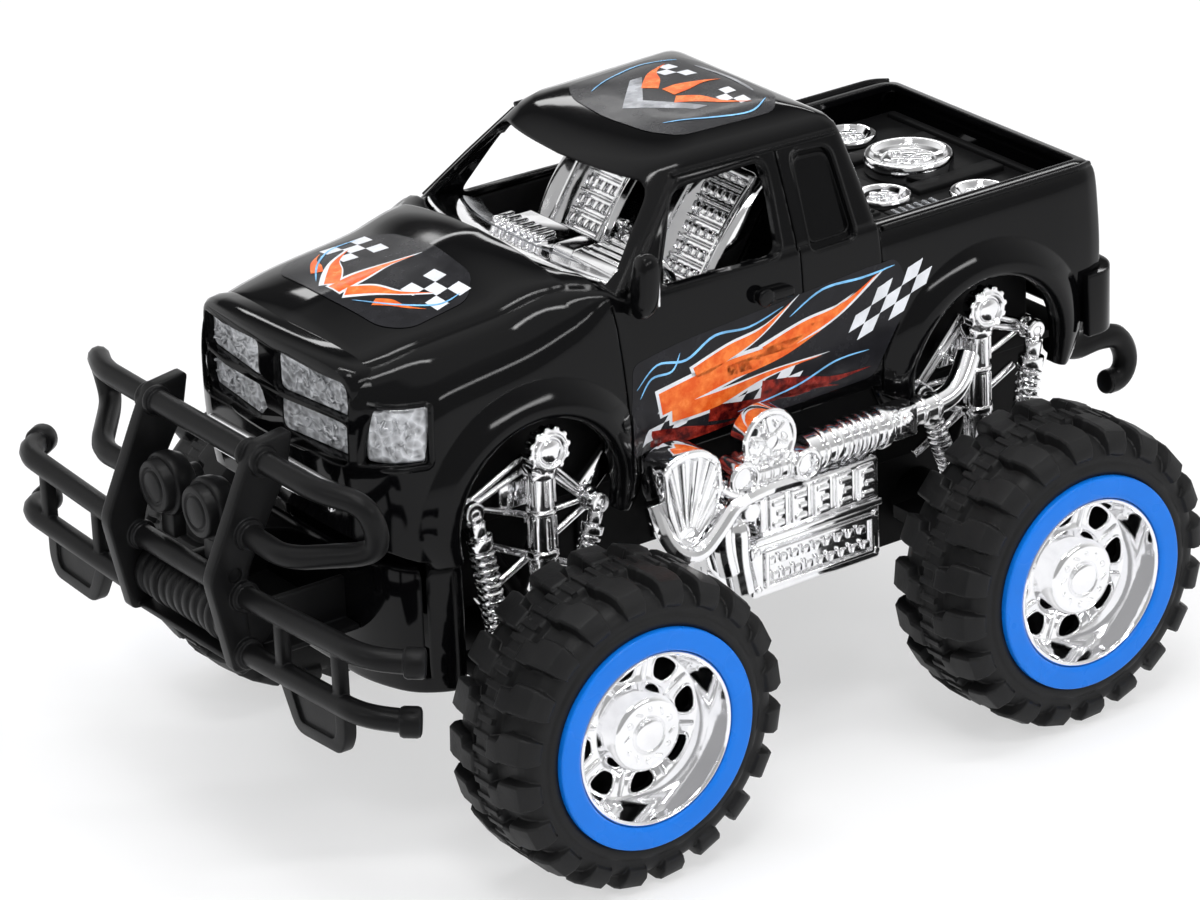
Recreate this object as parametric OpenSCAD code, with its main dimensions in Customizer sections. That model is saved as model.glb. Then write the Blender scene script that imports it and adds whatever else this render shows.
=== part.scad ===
// Toy monster truck: black pickup body on a high chassis, four big wheels,
// chrome-plated mechanical trim and a tubular guard at the front.
// +X is forward, +Y is the left side, +Z is up, millimetres.

/* [Wheels] */
// Distance between the front and rear axles
wheelbase = 153.4; // [140:0.2:186]
// Outside radius of a tyre over its tread
wheel_r = 46; // [40:0.5:56]
// Width of a tyre
tyre_w = 35; // [30:0.5:42]
// Side offset of a tyre's middle from the truck's centre line
wheel_y = 81.5; // [80:0.5:98]
// Radius of the steel axle rods
axle_r = 2; // [1.5:0.1:3]
// Running clearance of an axle rod in its housing
axle_gap = 0.06; // [0.03:0.01:0.1]
// Outside radius of the coloured wheel ring
ring_r = 32; // [28:0.5:36]
// Radius of the round opening inside the wheel ring
ring_hole_r = 25.6; // [23:0.1:27]
// Number of windows in a wheel
window_count = 8; // [5:1:12]

/* [Body] */
// Height of the sill above the axles
body_lift = 55; // [50:0.5:62]
// Width of the body over the doors
body_w = 105; // [98:0.5:126]
// Height of the load bed's rails above the sill
rail_h = 46.6; // [40:0.2:56]
// Height of the door belt line above the sill
belt_h = 49.5; // [44:0.5:58]
// Height of the roof's edge above the sill
roof_h = 77; // [68:0.5:90]
// Moulded wall thickness of the body
wall = 2.2; // [1.6:0.1:3]
// Radius of the wheel arches
arch_r = 26.5; // [24:0.5:29]
// Width of the raised lip around a wheel arch
arch_lip = 5; // [3:0.5:7]

/* [Front guard] */
// Reach of the guard plates in front of the front axle
guard_reach = 93.8; // [88:0.2:110]
// Half distance between the guard plates' outer faces
guard_half = 28.5; // [22:0.5:32]
// Thickness of a guard plate
guard_plate = 4.5; // [3:0.5:6]
// Radius of the guard's tubes
tube_r = 3.3; // [2.6:0.1:4]
// Radius of a spot lamp's housing
lamp_r = 9; // [7:0.5:10.5]

/* [Chassis] */
// Reach of the tow hooks behind the rear axle
hook_reach = 74.5; // [70:0.5:90]
// Radius of the tow hooks' bar
hook_r = 3.7; // [3:0.1:4.5]
// Half width of the chassis tray
tray_half = 31; // [26:0.5:34]
// Ground clearance under the chassis tray, above the axles
tray_lift = 20; // [17:0.5:26]
// Side offset of the shock absorbers
shock_y = 51.5; // [50:0.5:54]
// Radius of a shock absorber's strut
strut_r = 4.1; // [3:0.1:5]
// Lengthwise spacing of the screw holes under the chassis
screw_dx = 90; // [70:1:110]
// Sideways spacing of the screw holes under the chassis
screw_dy = 36; // [28:1:44]
// Radius of a screw hole
screw_r = 1.5; // [1:0.1:2]

/* [Hidden] */
$fn = 64;

// Axle places, measured from the middle of the wheelbase
ax = wheelbase / 2;
axle_z = wheel_r;
// Sill height, body half width and the fit between touching pieces
bz = axle_z + body_lift;
hw = body_w / 2;
fit = 0.2;
eps = 0.01;
// Overall reach, which puts the origin at the middle of the length
front_x = ax + guard_reach;
rear_x = -ax - hook_reach;
mid_x = (front_x + rear_x) / 2;

LEFT = 1;
RIGHT = -1;

module on_frame() { translate([-mid_x, 0, 0]) children(); }
module mirrored(side) { if (side == LEFT) children(); else mirror([0, 1, 0]) children(); }
module both_sides() { children(); mirror([0, 1, 0]) children(); }
// A block from one corner to the opposite one
module block(low, high) { translate(low) cube(high - low); }
// A cylinder along Y from y0 to y1
module bar_y(x, z, r, y0, y1) { translate([x, y0, z]) rotate([-90, 0, 0]) cylinder(r = r, h = y1 - y0); }
// A cylinder along X from x0 to x1
module bar_x(y, z, r, x0, x1) { translate([x0, y, z]) rotate([0, 90, 0]) cylinder(r = r, h = x1 - x0); }
// A prism between two flat outlines drawn in X and Z, from y0 to y1
module plate_xz(outline, y0, y1) { translate([0, y1, 0]) rotate([90, 0, 0]) linear_extrude(y1 - y0) polygon(outline); }
// A round bar along a list of points
module bar_path(points, r, sides = 14) {
    for (i = [1 : len(points) - 1])
        hull() {
            translate(points[i - 1]) sphere(r = r, $fn = sides);
            translate(points[i]) sphere(r = r, $fn = sides);
        }
}

// ---- Body ----

// Cross sections of the lower body, front to back:
// x, sill width and height, side width and height, belt width and height,
// deck width and height, crown height. Widths are half widths, heights are above the sill.
X = 0; SILL_W = 1; SILL_H = 2; SIDE_W = 3; SIDE_H = 4; BELT_W = 5; BELT_H = 6; DECK_W = 7; DECK_H = 8; CROWN_H = 9;
NOSE = [
    [ax + 54.8, hw - 27, -2, hw - 22, 12, hw - 22, 34, hw - 26, 41.5, 43],
    [ax + 52.3, hw - 17, -3, hw - 13, 12, hw - 13, 33, hw - 17, 42.5, 45.5],
    [ax + 47.5, hw - 9.5, -5, hw - 7, 13, hw - 7.5, 33, hw - 15, 43.5, 47.5],
    [ax + 41, hw - 5, -8, hw - 3, 14, hw - 4.5, 34, hw - 14, 45, 49.5],
    [ax + 31, hw - 2.5, -11, hw - 0.5, 15, hw - 3, 37, hw - 13.5, 47, 51.5]];
CABIN_BACK = -41;
MIDDLE = [
    [ax + 2, hw - 2.5, -11, hw, 17, hw - 2.5, 41, hw - 12, 49.5, 54.5],
    [ax - 14.5, hw - 2.5, -11, hw, 20, hw - 2, 46, hw - 10, 52.5, 57],
    [ax - 25.5, hw - 2.5, 0, hw, 22, hw - 2, 49, hw - 3.5, 53.5, 54.5],
    [ax - 30, hw - 2.5, 0, hw, 22, hw - 2, belt_h - 2, hw - 3, belt_h, belt_h],
    [CABIN_BACK, hw - 2.5, 0, hw, 22, hw - 2, belt_h - 2, hw - 3, belt_h, belt_h]];
TAIL = [
    [CABIN_BACK - 1.5, hw - 2.5, 0, hw, 22, hw - 2, rail_h - 4, hw - 6, rail_h, rail_h],
    [-ax - 30, hw - 2.5, -3, hw, 20, hw - 2, rail_h - 4, hw - 6, rail_h, rail_h],
    [-ax - 43.5, hw - 2.5, -4, hw - 0.5, 18, hw - 3, rail_h - 4, hw - 7, rail_h, rail_h],
    [-ax - 48.4, hw - 6.5, -4, hw - 4, 18, hw - 6.5, rail_h - 9, hw - 9, rail_h - 3, rail_h - 3]];

function section_outline(s, inset) = [
    [-s[SILL_W] + inset, s[SILL_H]], [-s[SIDE_W] + inset, s[SIDE_H]],
    [-s[BELT_W] + inset, s[BELT_H] - inset / 2], [-s[DECK_W] + inset, s[DECK_H] - inset],
    [0, s[CROWN_H] - inset],
    [s[DECK_W] - inset, s[DECK_H] - inset], [s[BELT_W] - inset, s[BELT_H] - inset / 2],
    [s[SIDE_W] - inset, s[SIDE_H]], [s[SILL_W] - inset, s[SILL_H]]];

// One thin slice of the lower body; `drop` lowers its open underside
module slice(s, inset, drop) {
    translate([s[X], 0, bz]) rotate([90, 0, 90]) linear_extrude(eps) {
        polygon(section_outline(s, inset));
        translate([-s[SILL_W] + inset, s[SILL_H] - drop])
            square([2 * (s[SILL_W] - inset), drop + eps]);
    }
}
module lower_body(rows, inset = 0, drop = 0) {
    for (i = [1 : len(rows) - 1])
        hull() { slice(rows[i - 1], inset, drop); slice(rows[i], inset, drop); }
}

// The cab above the belt line, made smaller all round by `inset`
GLASS_FRONT = ax - 14.5;
module cab(inset = 0) {
    w = hw - 2.5 - inset;
    roof_w = hw - 16.5 - inset;
    hull() {
        translate([0, 0, bz + belt_h - 3]) linear_extrude(2)
            polygon([[GLASS_FRONT - inset, -22], [GLASS_FRONT - inset, 22], [ax - 20, w - 8], [ax - 26 - inset, w],
                     [CABIN_BACK + inset, w], [CABIN_BACK + inset, -w], [ax - 26 - inset, -w], [ax - 20, -w + 8]]);
        translate([0, 0, bz + roof_h - inset - 1]) linear_extrude(1)
            polygon([[ax - 50 - inset, -18], [ax - 50 - inset, 18], [ax - 54 - inset, roof_w],
                     [CABIN_BACK + 5.5 + inset, roof_w + 3], [CABIN_BACK + 5.5 + inset, -roof_w - 3],
                     [ax - 54 - inset, -roof_w]]);
        translate([0, 0, bz + roof_h + 3 - inset]) linear_extrude(1)
            polygon([[ax - 60, 20], [CABIN_BACK + 8, 30], [CABIN_BACK + 8, -30], [ax - 60, -20]]);
        translate([CABIN_BACK + 14, 0, bz + roof_h + 5.5 - inset]) cube([24, 30, 1], center = true);
    }
}

ARCH_X = 2;      // arch centres stand this far ahead of, and behind, the axles
ARCH_H = -3;     // arch centre height from the sill
LIP_DROP = 11;   // the arch lips end this far below the sill
module arch_lips() {
    for (end = [1, -1]) both_sides()
        intersection() {
            difference() {
                bar_y(end * (ax + ARCH_X), bz + ARCH_H, arch_r + arch_lip, hw - 6, hw + 4);
                bar_y(end * (ax + ARCH_X), bz + ARCH_H, arch_r, hw - 7, hw + 5);
            }
            block([end * ax - 40, hw - 7, bz - LIP_DROP], [end * ax + 40, hw + 5, bz + 40]);
        }
}
module arch_holes() {
    for (end = [1, -1]) both_sides()
        bar_y(end * (ax + ARCH_X), bz + ARCH_H, arch_r, hw - 14, hw + 8);
}

// Grille cells: centre y, centre height above the sill, width, height
CELL_Y = 20.2;
CELLS = [[CELL_Y, 37, 29.6, 9.6], [CELL_Y, 25.6, 29.6, 9.6], [-CELL_Y, 37, 29.6, 9.6], [-CELL_Y, 25.6, 29.6, 9.6]];
NOSE_X = ax + 54.8;
module grille_cells(grow, x0, x1) {
    for (c = CELLS)
        block([x0, c[0] - c[2] / 2 - grow, bz + c[1] - c[3] / 2 - grow],
              [x1, c[0] + c[2] / 2 + grow, bz + c[1] + c[3] / 2 + grow]);
}
// Space of a headlight at the nose's corner
LIGHT_LOW = [ax + 36, hw - 13.5, bz + 20];
LIGHT_HIGH = [ax + 54, hw + 2, bz + 36.5];

module body_shell() {
    color("black") on_frame()
        difference() {
            union() {
                lower_body(NOSE);
                lower_body([NOSE[4], MIDDLE[0], MIDDLE[1], MIDDLE[2], MIDDLE[3], MIDDLE[4]]);
                lower_body([MIDDLE[4], TAIL[0], TAIL[1], TAIL[2], TAIL[3]]);
                cab();
                arch_lips();
            }
            // hollow under the hood and in the cabin
            translate([-wall, 0, 0]) lower_body(NOSE, wall, 30);
            lower_body([NOSE[4], MIDDLE[0], MIDDLE[1], MIDDLE[2], MIDDLE[3]], wall, 30);
            intersection() {
                lower_body([MIDDLE[3], MIDDLE[4]], wall, 30);
                block([CABIN_BACK + wall, -hw, 0], [ax, hw, bz + 70]);
            }
            cab(wall);
            block([CABIN_BACK + wall, -hw + 6, bz + 30], [ax - 28, hw - 6, bz + belt_h + 5]);
            // hollow of the load bed, open at the top between its rails
            intersection() {
                lower_body([TAIL[0], TAIL[1], TAIL[2], TAIL[3]], wall, 30);
                block([-ax - 48.4 + wall, -hw, 0], [CABIN_BACK - 1.5 - wall, hw, bz + 70]);
            }
            block([-ax - 42.5, -hw + 10.5, bz + 20], [CABIN_BACK - 4, hw - 10.5, bz + 60]);
            // clearance for the sill floor under the cabin's back wall
            block([CABIN_BACK - 6, -hw + 4.7, bz - 5], [CABIN_BACK + 5, hw - 4.7, bz + 4]);
            arch_holes();
            // door windows, windscreen and rear window
            plate_xz([[ax - 43, bz + belt_h], [-6, bz + belt_h - 1], [-9, bz + roof_h - 4], [ax - 56, bz + roof_h - 6]],
                     -hw - 5, hw + 5);
            translate([ax - 62, 0, bz]) rotate([90, 0, 90]) linear_extrude(70)
                polygon([[-hw + 7.5, 56], [-20, 58.5], [20, 58.5], [hw - 7.5, 56], [hw - 19, roof_h - 3], [-hw + 19, roof_h - 3]]);
            translate([CABIN_BACK - 6, 0, bz]) rotate([90, 0, 90]) linear_extrude(24)
                polygon([[-30, belt_h + 5], [30, belt_h + 5], [27, roof_h - 6], [-27, roof_h - 6]]);
            // openings of the grille and the headlights
            grille_cells(fit, NOSE_X - 12, NOSE_X + 5);
            both_sides() block(LIGHT_LOW - fit * [1, 1, 1], LIGHT_HIGH + fit * [1, 1, 1]);
        }
}

module grille_insert() {
    color("silver") on_frame() {
        grille_cells(0, NOSE_X - 9, NOSE_X - 2);
        block([NOSE_X - 11, -CELL_Y - 12, bz + 20], [NOSE_X - 9 + eps, CELL_Y + 12, bz + 39]);
    }
}

module headlights() {
    color("silver") on_frame()
        both_sides() intersection() {
            translate([-0.6, 0, 0]) lower_body([NOSE[1], NOSE[2], NOSE[3], NOSE[4]], 0.4);
            block(LIGHT_LOW, LIGHT_HIGH);
        }
}

// Cabin: floor, dash along the windscreen's base, console
CABIN_FLOOR = 27;   // above the sill
SEAT_Y = 24;
DASH_H = 48;
module cabin_interior() {
    color("silver") on_frame() {
        block([CABIN_BACK + wall + fit, -hw + 3.2, bz + CABIN_FLOOR], [ax - 17, hw - 3.2, bz + CABIN_FLOOR + 2]);
        difference() {
            block([ax - 38, -hw + 9, bz + CABIN_FLOOR + 2 - eps], [ax - 17.2, hw - 9, bz + DASH_H]);
            block([ax - 36, -hw + 11, bz + CABIN_FLOOR + 2], [ax - 19.2, hw - 11, bz + DASH_H - 2]);
        }
        block([-10, -6, bz + CABIN_FLOOR + 2 - eps], [ax - 38 + eps, 6, bz + CABIN_FLOOR + 16]);
    }
}

SEAT_W = 30;
module seat() {
    seat_z = bz + CABIN_FLOOR + 2;
    block([-22, -SEAT_W / 2, seat_z], [12, SEAT_W / 2, seat_z + 10]);
    plate_xz([[-14, seat_z + 8], [-28, seat_z + 40], [-34, seat_z + 40], [-24, seat_z]], -SEAT_W / 2, SEAT_W / 2);
}
module seats() { color("silver") on_frame() both_sides() translate([0, SEAT_Y, 0]) seat(); }

MIRROR = [ax - 34, hw + 4.5, bz + 54];
module mirror_left() {
    color("black") on_frame() {
        translate(MIRROR) difference() {
            cube([9, 9, 17], center = true);
            translate([-4.5, 0, 0.5]) cube([1.6, 7, 13], center = true);
        }
        block([MIRROR[0] - 2, hw - 1.8, MIRROR[2] - 7], [MIRROR[0] + 3, MIRROR[1] - 4.5 + eps, MIRROR[2] - 2]);
    }
}

// Load bed: floor panel with a step at the front, speaker discs
BED_FLOOR = 36;     // above the sill
BED_FRONT = CABIN_BACK - 4;
BED_BACK = -ax - 43;
module bed_panel() {
    color("dimgray") on_frame() {
        block([BED_BACK, -hw + 5, bz + BED_FLOOR], [BED_FRONT, hw - 5, bz + BED_FLOOR + 2]);
        block([BED_FRONT - 10, -hw + 14, bz + BED_FLOOR + 2 - eps], [BED_FRONT, hw - 14, bz + BED_FLOOR + 6]);
    }
}
// Speaker discs: x from the rear axle, y, radius, height
SPEAKERS = [[-15.5, 0, 13.3, 5], [-17, 31, 9, 2.2], [-17, -31, 9, 2.2], [6, 15, 8.5, 2.2], [6, -15, 8.5, 2.2]];
module bed_speakers() {
    color("silver") on_frame()
        for (s = SPEAKERS)
            translate([-ax + s[0], s[1], bz + BED_FLOOR + 2]) difference() {
                cylinder(r = s[2], h = s[3]);
                translate([0, 0, s[3] - 1.5]) cylinder(r = s[2] - 3, h = 2);
            }
}

TAIL_X = -ax - 48.4;
BUMPER_LOW = -4.5;
BUMPER_HIGH = 15;
module rear_bumper() {
    color("black") on_frame() difference() {
        block([TAIL_X - 4.1, -hw - 1.5, bz + BUMPER_LOW], [TAIL_X + 10, hw + 1.5, bz + BUMPER_HIGH]);
        block([TAIL_X - fit, -hw + 3.7, bz + BUMPER_LOW - 1], [TAIL_X + 11, hw - 3.7, bz + BUMPER_HIGH + 1]);
        translate([0, 0, bz + BUMPER_LOW - 1]) linear_extrude(BUMPER_HIGH - BUMPER_LOW + 2) both_sides()
            polygon([[TAIL_X - fit, hw - 4 + fit], [TAIL_X + 4.9, hw - 0.5 + fit], [TAIL_X + 11, hw + fit],
                     [TAIL_X + 11, hw - 10], [TAIL_X - fit, hw - 10]]);
    }
}

HOOK_Y = 33;
module tow_hooks() {
    hook_back = rear_x + hook_r;
    color("black") on_frame() both_sides()
        bar_path([[TAIL_X + 6.3, HOOK_Y, axle_z + 42], [hook_back + 21, HOOK_Y, axle_z + 37],
                  [hook_back + 12, HOOK_Y, axle_z + 38.5], [hook_back + 5, HOOK_Y, axle_z + 37],
                  [hook_back + 1, HOOK_Y, axle_z + 32], [hook_back, HOOK_Y, axle_z + 27],
                  [hook_back + 2.5, HOOK_Y, axle_z + 23], [hook_back + 8, HOOK_Y, axle_z + 22.5]], hook_r);
}

// ---- Chassis ----

TRAY_Z = axle_z + tray_lift;
PAN_LOW = bz - 8;            // floor pan that closes the body's underside
PAN_T = 2.4;
PAD_T = 1.2;
TRAY_FRONT = ax + 26.5;
TRAY_BACK = -ax - 38;
STRUT_Y = shock_y - 7;       // strut axis, inboard of the round cap
WELL_Y = STRUT_Y - strut_r - 1;  // inner walls of the wheel wells
WELL_REACH = 31;             // the sill floor stops this far from the axles
PAD_X = screw_dx / 2 + 7;    // flat pad under the tray
PAD_Y = screw_dy / 2 + 6;
module screw_places() { for (sx = [-1, 1], sy = [-1, 1]) translate([sx * screw_dx / 2 + mid_x, sy * screw_dy / 2, TRAY_Z]) children(); }
module chassis() {
    color("black") on_frame() difference() {
        union() {
            difference() {
                block([TRAY_BACK, -tray_half, TRAY_Z], [TRAY_FRONT, tray_half, PAN_LOW]);
                block([TRAY_BACK + 2.4, -tray_half + 2.4, TRAY_Z + 2.4], [TRAY_FRONT - 2.4, tray_half - 2.4, PAN_LOW + 1]);
            }
            block([mid_x - PAD_X, -PAD_Y, TRAY_Z - PAD_T], [mid_x + PAD_X, PAD_Y, TRAY_Z + 1]);
            screw_places() cylinder(r = screw_r + 2.5, h = 18);
        }
        screw_places() translate([0, 0, -PAD_T - 1]) cylinder(r = screw_r, h = 17);
    }
}

// Floor between the tray and the body, with the wheel wells' inner walls
module floor_pan() {
    floor_x = ax - WELL_REACH;
    color("black") on_frame() {
        block([TRAY_BACK - 8, -WELL_Y, PAN_LOW], [TRAY_FRONT, WELL_Y, PAN_LOW + PAN_T]);
        block([-floor_x, -hw + 4.9, PAN_LOW], [floor_x, hw - 4.9, PAN_LOW + PAN_T]);
        both_sides() {
            block([-floor_x, hw - 6.9, PAN_LOW], [floor_x, hw - 4.9, bz + 3]);
            for (end = [1, -1])
                block([end * ax - 27, WELL_Y - 2, PAN_LOW], [end * ax + 27, WELL_Y, bz + 22]);
            block([TRAY_BACK - 8, HOOK_Y - 6, axle_z + 42.2 + hook_r], [TRAY_BACK - 2, HOOK_Y + 6, PAN_LOW + eps]);
        }
    }
}

// Rounded box below the nose, in front of the chassis tray
APRON_LOW = axle_z + 4.5;
APRON_OUT = [[TRAY_FRONT + fit, hw - 1], [TRAY_FRONT + 5, hw - 1], [ax + 41, hw - 8], [ax + 47, hw - 24]];
module apron_plan(inset) {
    polygon(concat([for (p = APRON_OUT) [p[0] - (p[0] > TRAY_FRONT + 1 ? inset : -1), p[1] - inset]],
                   [for (i = [len(APRON_OUT) - 1 : -1 : 0]) [APRON_OUT[i][0] - (APRON_OUT[i][0] > TRAY_FRONT + 1 ? inset : -1), -APRON_OUT[i][1] + inset]]));
}
module front_apron() {
    color("black") on_frame() difference() {
        translate([0, 0, APRON_LOW]) linear_extrude(bz - 12 - APRON_LOW) polygon(
            concat(APRON_OUT, [for (i = [len(APRON_OUT) - 1 : -1 : 0]) [APRON_OUT[i][0], -APRON_OUT[i][1]]]));
        translate([0, 0, APRON_LOW + wall]) linear_extrude(60) apron_plan(wall);
    }
}

// ---- Axle housings, shock absorbers ----

HOUSING_R = 7;
PERCH_TOP = axle_z + 11;
PERCH_HALF = 24;
HOUSING_END = shock_y + 8.5;
module housing_tube(x) {
    bar_y(x, axle_z, HOUSING_R, -HOUSING_END, HOUSING_END);
    both_sides() {
        block([x - 6, STRUT_Y - 4.2, axle_z], [x + 6, STRUT_Y + 8.5, PERCH_TOP - 1]);
        block([x - PERCH_HALF, STRUT_Y - 4.2, PERCH_TOP - 4], [x + PERCH_HALF, STRUT_Y + 8.5, PERCH_TOP]);
    }
}
module axle_bore(x) { bar_y(x, axle_z, axle_r + axle_gap, -HOUSING_END - 1, HOUSING_END + 1); }
module front_axle_housing() {
    color("black") on_frame() difference() {
        union() {
            housing_tube(ax);
            bar_y(ax, axle_z, 13, -12, 12);
            bar_x(0, axle_z, 9, ax - 20, ax);
            block([ax - 10, -14, axle_z], [ax + 10, 14, TRAY_Z]);
        }
        axle_bore(ax);
    }
}
module rear_gearbox() {
    color("black") on_frame() difference() {
        union() {
            housing_tube(-ax);
            block([-ax - 16, -20, axle_z - 13], [-ax + 20, 20, TRAY_Z]);
        }
        axle_bore(-ax);
    }
}

// Coil shocks of one corner: offset of the top and bottom eyes from the axle,
// towards the near end of the truck, eye heights above the axle, coil radius
COILS = [[22, 56, 14, 14.7, 3.5], [-19.3, 47, -8, 14.7, 3]];
EYE_R = 3.5;
CAP_H = 70;
CAP_R = 7.2;
ARM_T = 3.2;
function eye_pos(x, end, row, top) = [x + end * row[top ? 0 : 2], axle_z + (top ? row[1] : row[3])];
module shock_tower(x, end, side) {
    color("silver") on_frame() mirrored(side) {
        translate([x, STRUT_Y, PERCH_TOP]) cylinder(r = strut_r, h = axle_z + CAP_H - 4 - PERCH_TOP);
        for (h = [6 : 12 : 42]) translate([x, STRUT_Y, PERCH_TOP + h]) cylinder(r = strut_r + 0.8, h = 3);
        bar_y(x, axle_z + CAP_H, CAP_R, STRUT_Y - 1, shock_y + 4.5);
        for (row = COILS) {
            p = eye_pos(x, end, row, true);
            d = [p[0] - x, p[1] - axle_z - CAP_H];
            translate([x, STRUT_Y - ARM_T, axle_z + CAP_H]) rotate([0, -atan2(d[1], d[0]), 0])
                translate([0, 0, -2.2]) cube([norm(d), ARM_T - 0.4, 4.4]);
            bar_y(p[0], p[1], EYE_R, STRUT_Y - ARM_T - 0.3, STRUT_Y);
        }
    }
}
module coil_shock(top, bottom, r) {
    d = top - bottom;
    run = norm(d);
    lean = atan2(d[0], d[1]);
    y0 = STRUT_Y + fit;
    y1 = STRUT_Y + 7;
    bar_y(top[0], top[1], EYE_R, y0, y1);
    bar_y(bottom[0], bottom[1], EYE_R, y0, y1);
    translate([bottom[0], (y0 + y1) / 2, bottom[1]]) rotate([0, lean, 0]) {
        cylinder(r = 1.6, h = run);
        translate([0, 0, run * 0.14]) cylinder(r = r, h = run * 0.66);
        translate([0, 0, run * 0.78]) cylinder(r = r - 0.7, h = run * 0.14);
    }
}
module coil_shocks(x, end, side) {
    color("silver") on_frame() mirrored(side)
        for (row = COILS) coil_shock(eye_pos(x, end, row, true), eye_pos(x, end, row, false), row[4]);
}

// ---- Side engine dressing ----

ENGINE_FACE = hw + 13.5;     // outermost face
ENGINE_BACK = hw - 2;
// Raised blocks: x0, x1, height0, height1 above the axle, face depth below ENGINE_FACE
ENGINE_BLOCKS = [[-29.5, 16, 9.5, 26.5, 2], [-28, -3, 29, 40, 1.5], [0, 11, 29, 39, 3], [13.5, 27.5, 17, 38.5, 3.5]];
// Outline of the fan cover: x, height above the axle
FAN = [[46, 58], [41, 61.5], [31, 61], [25.5, 56], [26.5, 43], [37, 33], [42, 34], [46, 46]];
CANISTER_Y = hw + 8;
CANISTER_Z = axle_z + 48;
module side_engine(side) {
    color("silver") on_frame() mirrored(side) {
        block([-29, ENGINE_BACK, axle_z + 10], [28.5, ENGINE_BACK + 6, axle_z + 46]);
        for (x = [-22, 10]) block([x, tray_half + fit, axle_z + 24], [x + 12, ENGINE_BACK + 1, axle_z + 34]);
        for (b = ENGINE_BLOCKS) block([b[0], ENGINE_BACK + 4, axle_z + b[2]], [b[1], ENGINE_FACE - b[4], axle_z + b[3]]);
        // fan cover, round cover and the bosses between them
        plate_xz([for (p = FAN) [p[0], axle_z + p[1]]],
                 hw + 3, ENGINE_FACE - 1);
        bar_y(8.8, axle_z + 56.6, 9.4, hw + 4.6, ENGINE_FACE - 2);
        bar_y(19.2, axle_z + 48.2, 4.8, hw + 5, ENGINE_FACE + 0.4);
        bar_y(-2.8, axle_z + 46.6, 4.8, hw + 5, ENGINE_FACE + 0.4);
        block([-5, hw + 1, axle_z + 41], [31, hw + 9, axle_z + 51]);
        // ribbed canister, its clamp and the exhaust behind them
        bar_x(CANISTER_Y, CANISTER_Z, 5, -38, -3);
        for (i = [0 : 5]) bar_x(CANISTER_Y, CANISTER_Z, 5.9, -30 + i * 4.2, -28 + i * 4.2);
        block([-43, hw + 5.5, axle_z + 43.5], [-34, hw + 12, axle_z + 54]);
        bar_x(CANISTER_Y + 0.5, CANISTER_Z + 1, 3.6, -62, -42);
        translate([-61, CANISTER_Y + 0.5, CANISTER_Z + 1]) rotate([0, -62, 0]) cylinder(r = 3.2, h = 12);
    }
}

// ---- Front guard ----

KNEE_X = front_x;
GUARD_Z = axle_z + 48.7;     // height of the plates' knee
PLATE = [[KNEE_X - 29, 37.5], [KNEE_X - 16.5, 35.5], [KNEE_X - 12, 26], [KNEE_X, 0], [KNEE_X - 3, -14], [KNEE_X - 6, -28],
         [KNEE_X - 12.5, -28.5], [KNEE_X - 11, -12], [KNEE_X - 12, 0], [KNEE_X - 21, 16], [KNEE_X - 26, 25]];
TUBE_TOP = [KNEE_X - 18, 32];
TUBE_MID = [KNEE_X - 10.3, -6.1];
// Bars on the left: x back from the knee, y, height from the knee
LOOP = [[19, 27.6, 31], [19.6, 54, 30.8], [22, 61, 30.5], [26.5, 67, 29], [28.5, 69, 22.5], [28.5, 68, 15.5],
        [25, 63, 12.8], [12.6, 48, 10.8], [13, 27.6, 11.6]];
BUMPER_UP = [[10.3, 27.6, -6.1], [10.5, 60, -4.6], [10.8, 84.5, -3.1], [14.5, 92, -3.6], [21, 95.4, -4.5]];
BUMPER_LOW_BAR = [[10.4, 27.6, -23.1], [10, 60, -21.5], [9.6, 83, -20], [13, 90, -20.6], [20, 93.3, -22.2]];
POSTS = [[10.2, 47], [10.4, 75]];
function guard_points(rows) = [for (p = rows) [KNEE_X - p[0], p[1], GUARD_Z + p[2]]];
module bull_bar() {
    color("black") on_frame() {
        both_sides() {
            plate_xz([for (p = PLATE) [p[0], GUARD_Z + p[1]]], guard_half - guard_plate, guard_half);
            bar_path(guard_points(LOOP), tube_r);
            bar_path(guard_points(BUMPER_UP), tube_r);
            bar_path(guard_points(BUMPER_LOW_BAR), tube_r);
            for (p = POSTS)
                block([KNEE_X - p[0] - 1.6, p[1] - 1.6, GUARD_Z - 22], [KNEE_X - p[0] + 1.6, p[1] + 1.6, GUARD_Z - 4]);
            translate([KNEE_X - 10, 0, GUARD_Z]) rotate([90, 0, -90]) linear_extrude(3.5)
                polygon([[-42, -21], [-76, -20], [-76, -32], [-73.5, -36.5], [-52, -37.5]]);
        }
        bar_y(TUBE_TOP[0], GUARD_Z + TUBE_TOP[1], tube_r, -guard_half + 1, guard_half - 1);
        bar_y(TUBE_MID[0], GUARD_Z + TUBE_MID[1], tube_r, -guard_half + 1, guard_half - 1);
        // skid bracket back to the apron
        block([ax + 47 + fit, -guard_half + 1, GUARD_Z - 27.9], [KNEE_X - 8, guard_half - 1, GUARD_Z - 26.1]);
    }
}

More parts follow.
